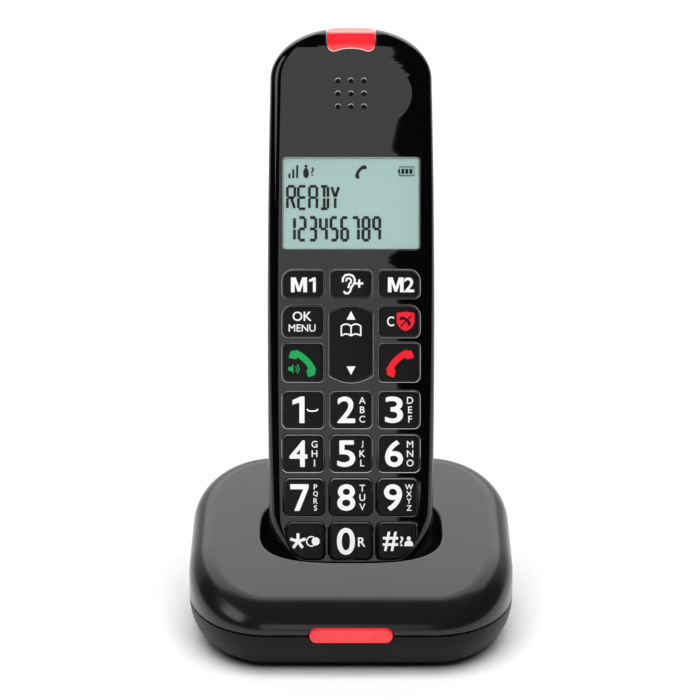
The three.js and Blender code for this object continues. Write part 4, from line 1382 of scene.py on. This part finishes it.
def legend_plan():
    """For every key, its drawings as (suffix, slot, shape) about the key's middle."""
    ink, green, red = "legend_ink", "legend_green", "legend_red"
    digits = {"2": "ABC", "3": "DEF", "4": "GHI", "5": "JKL", "6": "MNO", "7": "PQRS",
              "8": "TUV", "9": "WXYZ"}
    plan = {f"key_{text}": [("legend", ink, digit(text, letters))]
            for text, letters in digits.items()}
    cup = line([(1.1, 0.25), (1.5, -0.3), (2.7, -0.42), (3.9, -0.3), (4.3, 0.25)], 0.42)
    plan["key_1"] = [("legend", ink, together(digit("1", ""), cup))]
    star = together(*[spun(line([(0, -0.1), (0, 2.35)], 0.85), 72 * i, (-2.2, 0))
                      for i in range(5)])
    plan["key_star"] = [("legend", ink, together(star, crescent((2.3, 0), 1.25)))]
    zero = together(lettering("0", (-1.5, 0), 7.9, 5.3, DIGIT_WEIGHT),
                    lettering("R", (3.1, -0.2), 2.75, None, 0.06))
    plan["key_0"] = [("legend", ink, zero)]
    hash_parts = together(lettering("#", (-1.8, 0), 5.7, 4.5, 0.12),
                          lettering("?", (1.5, 0), 2.9, None, 0.08), person((3.55, 0), 2.8))
    plan["key_hash"] = [("legend", ink, hash_parts)]
    first = together(glyph_m((-1.25, -0.2), 4.7, 4.35), glyph_one((2.7, -0.2), 1.9, 4.35))
    second = together(glyph_m((-0.9, -0.2), 4.6, 4.35),
                      lettering("2", (3.0, -0.2), 4.35, 3.0, 0.12))
    plan["key_m1"] = [("legend", ink, first)]
    plan["key_m2"] = [("legend", ink, second)]
    plus = together(line([(1.2, 0.2), (3.6, 0.2)], 0.62), line([(2.4, -1.0), (2.4, 1.4)], 0.62))
    plan["key_volume"] = [("legend", ink, together(ear((-0.7, 0), 5.7), plus))]
    menu = together(lettering("OK", (-0.35, 1.5), 2.75, None, 0.05),
                    lettering("MENU", (-0.35, -1.95), 2.15, 7.9, 0.03))
    plan["key_ok_menu"] = [("legend", ink, menu)]
    arrows = together(triangle((0, 8.4), 2.6, 2.55), open_book((0, 4.1), 5.7, 3.7),
                      spun(triangle((0, 0), 2.6, 2.5), 180, (0, -7.8)))
    plan["key_nav"] = [("legend", ink, arrows)]
    plan["key_c"] = [("legend", ink, lettering("C", (-2.4, 0), 2.9, 2.1, 0.05)),
                     ("shield", red, shield((2.0, 0), 5.2, 5.7))]
    call = together(receiver(9.6, (0.2, 0.1), -45), sound((-2.7, -1.9), 1.7))
    plan["key_call"] = [("legend", green, call)]
    plan["key_end"] = [("legend", red, receiver(9.8, (-0.1, 0.1), 45))]
    return plan


def printed(shape, level_at, thickness):
    """A flat shape as thin ink on a surface whose level is a function of X and Z."""
    points, faces = shape
    flat = bmesh.new()
    corners = [flat.verts.new((x, 0, z)) for x, z in points]
    for face in faces:
        flat.faces.new([corners[i] for i in face])
    flat.normal_update()
    bmesh.ops.triangulate(flat, faces=flat.faces, ngon_method="EAR_CLIP")
    front = finished(flat)
    solid = bmesh.new()
    solid.from_mesh(front)
    bpy.data.meshes.remove(front)
    made = bmesh.ops.extrude_face_region(solid, geom=solid.faces[:])
    raised = {item for item in made["geom"] if isinstance(item, bmesh.types.BMVert)}
    for vertex in solid.verts:
        level = level_at(vertex.co.x, vertex.co.z)
        vertex.co.y = level - thickness if vertex in raised else level + thickness
    bmesh.ops.recalc_face_normals(solid, faces=solid.faces)
    return finished(solid)


def make_legends():
    for key, drawings in legend_plan().items():
        middle_x, middle_z = front_extent(key)[0]
        for suffix, slot, (points, faces) in drawings:
            placed = [(middle_x + x, middle_z + z) for x, z in points], faces
            mesh = printed(placed, lambda x, z, key=key: key_top(key, x, z), sizes().ink)
            add_piece(f"{key}_{suffix}", mesh, HANDSET, key, slot, (), 30)
    middle_x, middle_z = front_extent("key_c")[0]
    crossed = together(receiver(3.7, (0, 0.25), -35), line([(-1.5, -1.5), (1.6, 1.6)], 0.4))
    placed = [(middle_x + 2 + x, middle_z + z) for x, z in crossed[0]], crossed[1]
    lift = sizes().ink
    mesh = printed(placed, lambda x, z: key_top("key_c", x, z) - lift, lift)
    add_piece("key_c_crossed", mesh, HANDSET, "key_c", "key_black", (), 30)


# ---- Display ----

SEVEN = {"0": "abcdef", "1": "bc", "2": "abged", "3": "abgcd", "4": "fgbc", "5": "afgcd",
         "6": "afgedc", "7": "abc", "8": "abcdefg", "9": "abcfg"}
FOURTEEN = {"R": "abefgnx", "E": "adefgn", "A": "abcefgn", "D": "abcdil", "Y": "hjl"}
SEGMENTS = {
    "a": ((0, 1), (1, 1)), "b": ((1, 1), (1, 0.5)), "c": ((1, 0.5), (1, 0)),
    "d": ((0, 0), (1, 0)), "e": ((0, 0), (0, 0.5)), "f": ((0, 0.5), (0, 1)),
    "g": ((0, 0.5), (1, 0.5)), "n": ((0, 0.5), (1, 0.5)), "i": ((0.5, 1), (0.5, 0.5)),
    "l": ((0.5, 0.5), (0.5, 0)), "h": ((0, 1), (0.5, 0.5)), "j": ((1, 1), (0.5, 0.5)),
    "x": ((0.5, 0.5), (1, 0)),
}


def segment_text(text, font, start, height, width, pitch, stroke):
    """Characters made of bars, left to right from a lower left corner."""
    strokes = []
    for i, character in enumerate(text):
        for name in font.get(character, ""):
            ends = []
            first, last = (Vector(end) for end in SEGMENTS[name])
            trim = (last - first) * 0.06
            for x, z in (first + trim, last - trim):
                ends.append((start[0] + i * pitch + x * width, start[1] + z * height))
            strokes.append(line(ends, stroke))
    return together(*strokes)


def battery_icon(centre, width, height):
    x, z = centre
    edge = scaled(centre, width / 2, height / 2, ((-1, -1), (1, -1), (1, 1), (-1, 1)))
    edge.append((x - width / 2, z - height / 2 - 0.1))
    cells = [line([(x + width * share, z - height * 0.28), (x + width * share, z + height * 0.28)],
                  width * 0.2) for share in (-0.28, 0.0, 0.28)]
    nub_x = x - width / 2 - 0.3
    nub = line([(nub_x, z - height * 0.2), (nub_x, z + height * 0.2)], 0.4)
    return together(line(edge, 0.28), *cells, nub)


def signal_icon(left, bottom, size):
    bars = []
    for i in range(3):
        x = left + size * 0.3 * i
        bars.append(line([(x, bottom), (x, bottom + size * (0.36 + 0.32 * i))], size * 0.16))
    return together(*bars)


TEXT_HEIGHT = 6.6
PANE_THICKNESS = 0.35


def make_display():
    """The clear pane, the screen behind it, whose glow is painted light, and the dark segments
    between them.
    """
    middle, size = front_extent("display_window")
    front, back = (corner.y for corner in handset_span("display_window"))
    rim = sizes().rim

    def outline(grow):
        return rounded_outline(size[0] + 2 * grow, size[1] + 2 * grow, [0.8 + grow] * 4, 6)

    def inner(grow):
        return rounded_outline(size[0] - 0.3 + 2 * grow, size[1] - 0.3 + 2 * grow, [0.6] * 4, 6)

    pane_back = front + PANE_THICKNESS
    pane = prism(outline, [(pane_back, 0), (front + rim, 0), (front, -rim)], middle)
    add_piece("display_pane", pane, HANDSET, "handset", "display_glass", ["display_window"])
    screen = prism(inner, [(back, 0), (front + 0.5, 0)], middle)
    add_piece("display_screen", screen, HANDSET, "handset", "display_panel")
    x, z = middle
    shapes = together(
        segment_text("READY", FOURTEEN, (x - 18.7, z - 1.5), TEXT_HEIGHT, 2.2, 3.24, 0.8),
        segment_text("123456789", SEVEN, (x - 18.4, z - 10.7), TEXT_HEIGHT, 1.8, 3.13, 0.86),
        signal_icon(x - 18.1, z + 7.5, 3.8),
        disc((x - 13.2, z + 11.0), 0.45),
        disc((x - 13.2, z + 9.0), 0.85, 1.75),
        lettering("?", (x - 11.3, z + 9.4), 2.6, None, 0.05),
        receiver(4.6, (x + 2.7, z + 9.5), 52),
        battery_icon((x + 16.4, z + 9.5), 4.2, 2.6),
    )
    mesh = printed(shapes, lambda px, pz: front + 0.45, 0.03)
    add_piece("display_segments", mesh, HANDSET, "handset", "display_segment", (), 30)


# ---- Lights ----


def ribbed_body(proud, ribs, pitch, rise):
    """The handset's upper end, standing proud, with rounded ribs across it."""
    reach, step = 10, 0.16
    first = HANDSET_LENGTH - reach
    heights = [first + step * i for i in range(int(reach / step))]
    rings = []
    for height in heights:
        wave = 0.0
        for rib in ribs:
            wave = max(wave, 1 - ((height - rib) / (pitch * 0.4)) ** 2)
        rings.append(handset_section(height, -proud - rise * max(wave, 0), 9))
    end = HANDSET_LENGTH + proud
    return loft(rings, (0, 0, first), (0, 0, end))


def upper_lens_mesh():
    ribs = [HANDSET_LENGTH - 2.6, HANDSET_LENGTH - 4.4, HANDSET_LENGTH - 6.1]
    mesh = ribbed_body(0.1, ribs, 1.7, 0.14)
    keep = prism(upper_lens_outline, [(-SEAM_GAP, 0), (-30, 0)])
    mesh = boolean(mesh, keep, "INTERSECT")
    return boolean(mesh, handset_body(sizes().wall))


def base_lens_mesh():
    low, high = base_box("base_light_lens")
    soft = 0.5
    levels = [(high.y, 0)]
    levels += [(low.y + soft * (1 - math.sin(a)), -soft * (1 - math.cos(a))) for a in quarter(5)]
    return prism(lens_outline, levels, (0, SEAM))


def make_lights():
    add_piece("handset_light", upper_lens_mesh(), HANDSET, "handset", "red_lens",
              ["handset_light_lens"])
    add_piece("base_light", base_lens_mesh(), BASE, "base", "red_lens", ["base_light_lens"])


# ---- Small parts ----


def screw_mesh(head, head_height, shank, length, direction, seat):
    """A screw with its head at the seat and its point along a direction, with a cross in it."""
    pitch, plain_tip = 1.1, 1.5
    profile = [(0, 0), (head * 0.7, 0), (head * 0.9, head_height * 0.15),
               (head, head_height * 0.45), (head, head_height), (shank * 0.75, head_height)]
    along = head_height
    while along < length - plain_tip:
        profile += [(shank * 0.75, along + pitch * 0.3), (shank, along + pitch * 0.5),
                    (shank * 0.75, along + pitch * 0.7)]
        along += pitch
    profile.append((0, length))
    mesh = turned(profile, direction, seat, 32)
    arm, slot = head * 0.62, head * 0.15
    along, depth = Vector(direction), head_height * 0.6
    spans = []
    for across in (arm, slot):
        other = slot if across == arm else arm
        if abs(along.z) > 0.5:
            spans.append([(-across, across), (-other, other), (-1, depth)])
        else:
            spans.append([(-across, across), (-depth, 1), (-other, other)])
    for span in spans:
        moved = [(low + seat[k], high + seat[k]) for k, (low, high) in enumerate(span)]
        mesh = boolean(mesh, box_mesh(*moved))
    return mesh


BASE_SCREW = {"head_height": 1.6, "shank": 1.4}
HANDSET_SCREW = {"head_height": 1.8, "shank": 1.3}


def make_screws():
    for i in range(1, 5):
        low, high = base_box(f"base_screw_{i}")
        middle = (low + high) / 2
        mesh = screw_mesh((high.x - low.x) / 2, **BASE_SCREW, length=high.z - low.z,
                          direction=(0, 0, 1), seat=(middle.x, middle.y, low.z))
        add_piece(f"base_screw_cross_{i}", mesh, BASE, "base", "steel", [f"base_screw_{i}"])
    for side in ("left", "right"):
        low, high = handset_span(f"handset_screw_{side}")
        middle = (low + high) / 2
        mesh = screw_mesh((high.x - low.x) / 2, **HANDSET_SCREW, length=high.y - low.y,
                          direction=(0, -1, 0), seat=(middle.x, high.y, middle.z))
        add_piece(f"handset_screw_cross_{side}", mesh, HANDSET, "handset", "steel",
                  [f"handset_screw_{side}"])


def make_page_button():
    """A cap with a rounded edge and a shallow dish for the finger."""
    edge = 0.5
    low, high = base_box("page_button")
    middle, radius = (low + high) / 2, (high.x - low.x) / 2
    half = (high.y - low.y) / 2
    profile = [(0, -half), (radius, -half), (radius, half - edge)]
    profile += [(radius - edge * (1 - math.cos(a)), half - edge * (1 - math.sin(a)))
                for a in quarter(4)]
    dish = ((0.75, 0.02), (0.6, 0.12), (0.4, 0.24), (0.2, 0.3), (0, 0.32))
    profile += [(radius * share, half - depth) for share, depth in dish]
    mesh = turned(profile, (0, 1, 0), middle)
    add_piece("page_button_cap", mesh, BASE, "page_button", "key_black", ["page_button"])


PINS = {"power_socket": (2, 3.4), "line_socket": (4, 1.3)}  # count and pitch
PIN_HALF_WIDTH = 0.28


def make_socket_pins():
    for node, (count, pitch) in PINS.items():
        low, high = base_box(node)
        middle = (low + high) / 2
        pins = []
        for i in range(count):
            x = middle.x + (i - (count - 1) / 2) * pitch
            pins.append(box_mesh((x - PIN_HALF_WIDTH, x + PIN_HALF_WIDTH),
                                 (low.y + 2.2, high.y - 3.5), (middle.z + 1.2, middle.z + 1.7)))
        add_piece(f"{node}_pins", merged(pins), BASE, "base", "contact_metal")


KEPT = {
    "base": {
        "satin_black": ("power_socket", "line_socket"),
        "circuit_board": ("base_circuit_board",),
        "contact_metal": ("charge_contact_left", "charge_contact_right"),
        "rubber": ("base_foot_1", "base_foot_2", "base_foot_3", "base_foot_4"),
    },
    "handset": {
        "circuit_board": ("handset_circuit_board",),
        "rubber": ("display_module", "keypad_mat", "earpiece_speaker"),
        "steel": ("microphone", "loudspeaker", "battery_contact_lower", "battery_contact_upper"),
        "contact_metal": ("antenna", "charge_plate_left", "charge_plate_right"),
        "cell_wrap": ("battery_cell_left", "battery_cell_right"),
    },
}


def finish_kept_nodes():
    """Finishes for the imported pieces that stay; the handset's show in no reflection."""
    for part, slots in KEPT.items():
        for slot, names in slots.items():
            for name in names:
                node = frame["nodes"][name]
                node.data.materials.clear()
                node.data.materials.append(finish_named(slot))
                node.visible_glossy = part == "base"


# ---- Stage ----


AIM_HEIGHT = 82  # millimetres up the handset's front
ELEVATION = 15.5  # degrees
CAMERA_DISTANCE = 0.65  # metres
LENS = 113.9
SHIFT = -0.0653


def sweep_mesh():
    """A floor that curves up into a backdrop, in millimetres."""
    half, front, back, bend, top = 3000, -3000, 1500, 700, 2600
    line_points = [(front, 0), (back - bend, 0)]
    line_points += [(back - bend + bend * math.sin(a), bend * (1 - math.cos(a)))
                    for a in quarter(24)[1:]]
    line_points.append((back, top))
    points = [(side * half, y, z) for y, z in line_points for side in (-1, 1)]
    faces = [(2 * i, 2 * i + 1, 2 * i + 3, 2 * i + 2) for i in range(len(line_points) - 1)]
    mesh = bpy.data.meshes.new("sweep")
    mesh.from_pydata(points, [], faces)
    mesh.transform(Matrix.Scale(MM, 4))
    mesh.shade_smooth()
    return mesh


def add_light(name, place, target, size, radiance, kind="both"):
    """A softbox that faces a target; its brightness is per area, whatever its size.

    Its kind says what it shows in: gloss, for a reflection only, matt, or both.
    """
    light = bpy.data.lights.new(name, "AREA")
    light.shape = "RECTANGLE"
    light.size, light.size_y = size
    light.energy = radiance * math.pi * size[0] * size[1]
    holder = linked(name, light)
    holder.location = place
    holder.rotation_euler = (Vector(target) - Vector(place)).to_track_quat("-Z", "Y").to_euler()
    holder.visible_glossy = kind != "matt"
    holder.visible_diffuse = kind != "gloss"
    holder.visible_camera = False
    return holder


def set_stage():
    sweep = linked("sweep", sweep_mesh())
    sweep.data.materials.append(finish_named("floor_paper"))
    world = bpy.data.worlds.new("studio")
    world.use_nodes = True
    world.node_tree.nodes["Background"].inputs["Color"].default_value = (1, 1, 1, 1)
    world.node_tree.nodes["Background"].inputs["Strength"].default_value = 0.01
    scene = bpy.context.scene
    scene.world = world
    scene.view_settings.view_transform = "Standard"

    aim = HANDSET @ Vector((-0.3, -HALF_THICKNESS, AIM_HEIGHT))
    elevation = math.radians(ELEVATION)
    toward = Vector((0, -math.cos(elevation), math.sin(elevation)))
    camera = bpy.data.cameras.new("camera")
    camera.sensor_width = 36
    camera.lens = LENS
    camera.shift_y = SHIFT
    camera.clip_start = 0.05
    holder = linked("camera", camera)
    holder.location = aim + toward * CAMERA_DISTANCE
    holder.rotation_euler = (-toward).to_track_quat("-Z", "Y").to_euler()
    scene.camera = holder

    middle = Vector((-0.133, 0, 0))
    add_light("front_card", aim + toward * 1.3 + middle, aim + middle, (0.349, 0.62), 1.3, "gloss")
    add_light("left_box", (-0.62, -0.3, 0.5), (0, 0, 0.22), (0.4, 0.4), 2.2, "gloss")
    add_light("top_box", (0, 0.9, 1.25), (0, 0, 0), (2.4, 1.2), 1.45, "gloss")
    add_light("fill", (0, -0.6, 2.0), (0, 0.2, 0), (2.4, 2.4), 3.1, "matt")
    add_light("backdrop_fill", (0, 0.1, 1.9), (0, 1.5, 0.9), (2.4, 1.0), 2.3, "matt")


# ---- Operators and panel ----


class PhoneOperator(bpy.types.Operator):
    """Base of every step of the phone"""

    bl_options = {"REGISTER", "UNDO"}
    steps = ()

    def execute(self, context):
        for step in self.steps:
            step()
        return {"FINISHED"}


class PHONE_OT_base_casings(PhoneOperator):
    """Build the base's upper and lower casing"""

    bl_idname = "phone.base_casings"
    bl_label = "Base casings"
    steps = (make_base_casings,)


class PHONE_OT_handset_casings(PhoneOperator):
    """Build the handset's front and back casing and its battery cover"""

    bl_idname = "phone.handset_casings"
    bl_label = "Handset casings"
    steps = (make_handset_casings,)


class PHONE_OT_keys(PhoneOperator):
    """Build every key cap"""

    bl_idname = "phone.keys"
    bl_label = "Keys"
    steps = (make_keys,)


class PHONE_OT_legends(PhoneOperator):
    """Print the keys' generic legends"""

    bl_idname = "phone.legends"
    bl_label = "Legends"
    steps = (make_legends,)


class PHONE_OT_display(PhoneOperator):
    """Build the display's pane, screen and segments"""

    bl_idname = "phone.display"
    bl_label = "Display"
    steps = (make_display,)


class PHONE_OT_lights(PhoneOperator):
    """Build the red light windows of the handset and the base"""

    bl_idname = "phone.lights"
    bl_label = "Light windows"
    steps = (make_lights,)


class PHONE_OT_small_parts(PhoneOperator):
    """Build the screws, the page button and the sockets' pins"""

    bl_idname = "phone.small_parts"
    bl_label = "Small parts"
    steps = (make_screws, make_page_button, make_socket_pins)


class PHONE_OT_kept_nodes(PhoneOperator):
    """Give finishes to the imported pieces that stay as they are"""

    bl_idname = "phone.kept_nodes"
    bl_label = "Inner parts"
    steps = (finish_kept_nodes,)


class PHONE_OT_stage(PhoneOperator):
    """Set the floor, the softboxes and the camera"""

    bl_idname = "phone.stage"
    bl_label = "Stage"
    steps = (set_stage,)


OPERATORS = (
    PHONE_OT_base_casings,
    PHONE_OT_handset_casings,
    PHONE_OT_keys,
    PHONE_OT_legends,
    PHONE_OT_display,
    PHONE_OT_lights,
    PHONE_OT_small_parts,
    PHONE_OT_kept_nodes,
    PHONE_OT_stage,
)


class PHONE_PT_panel(bpy.types.Panel):
    """Sizes, colours and steps of the phone"""

    bl_idname = "PHONE_PT_panel"
    bl_label = "Cordless phone"
    bl_space_type = "VIEW_3D"
    bl_region_type = "UI"
    bl_category = "Phone"

    def draw(self, context):
        for group in (context.scene.phone_sizes, context.scene.phone_colours):
            column = self.layout.column(align=True)
            for name in group.__annotations__:
                column.prop(group, name)
        for operator in OPERATORS:
            self.layout.operator(operator.bl_idname)


CLASSES = (PhoneSizes, PhoneColours, *OPERATORS, PHONE_PT_panel)


def register():
    for cls in CLASSES:
        bpy.utils.register_class(cls)
    bpy.types.Scene.phone_sizes = PointerProperty(type=PhoneSizes)
    bpy.types.Scene.phone_colours = PointerProperty(type=PhoneColours)


def unregister():
    del bpy.types.Scene.phone_colours
    del bpy.types.Scene.phone_sizes
    for cls in reversed(CLASSES):
        bpy.utils.unregister_class(cls)


def main():
    register()
    for operator in OPERATORS:
        group, name = operator.bl_idname.split(".")
        getattr(getattr(bpy.ops, group), name)()


if __name__ == "__main__":
    main()
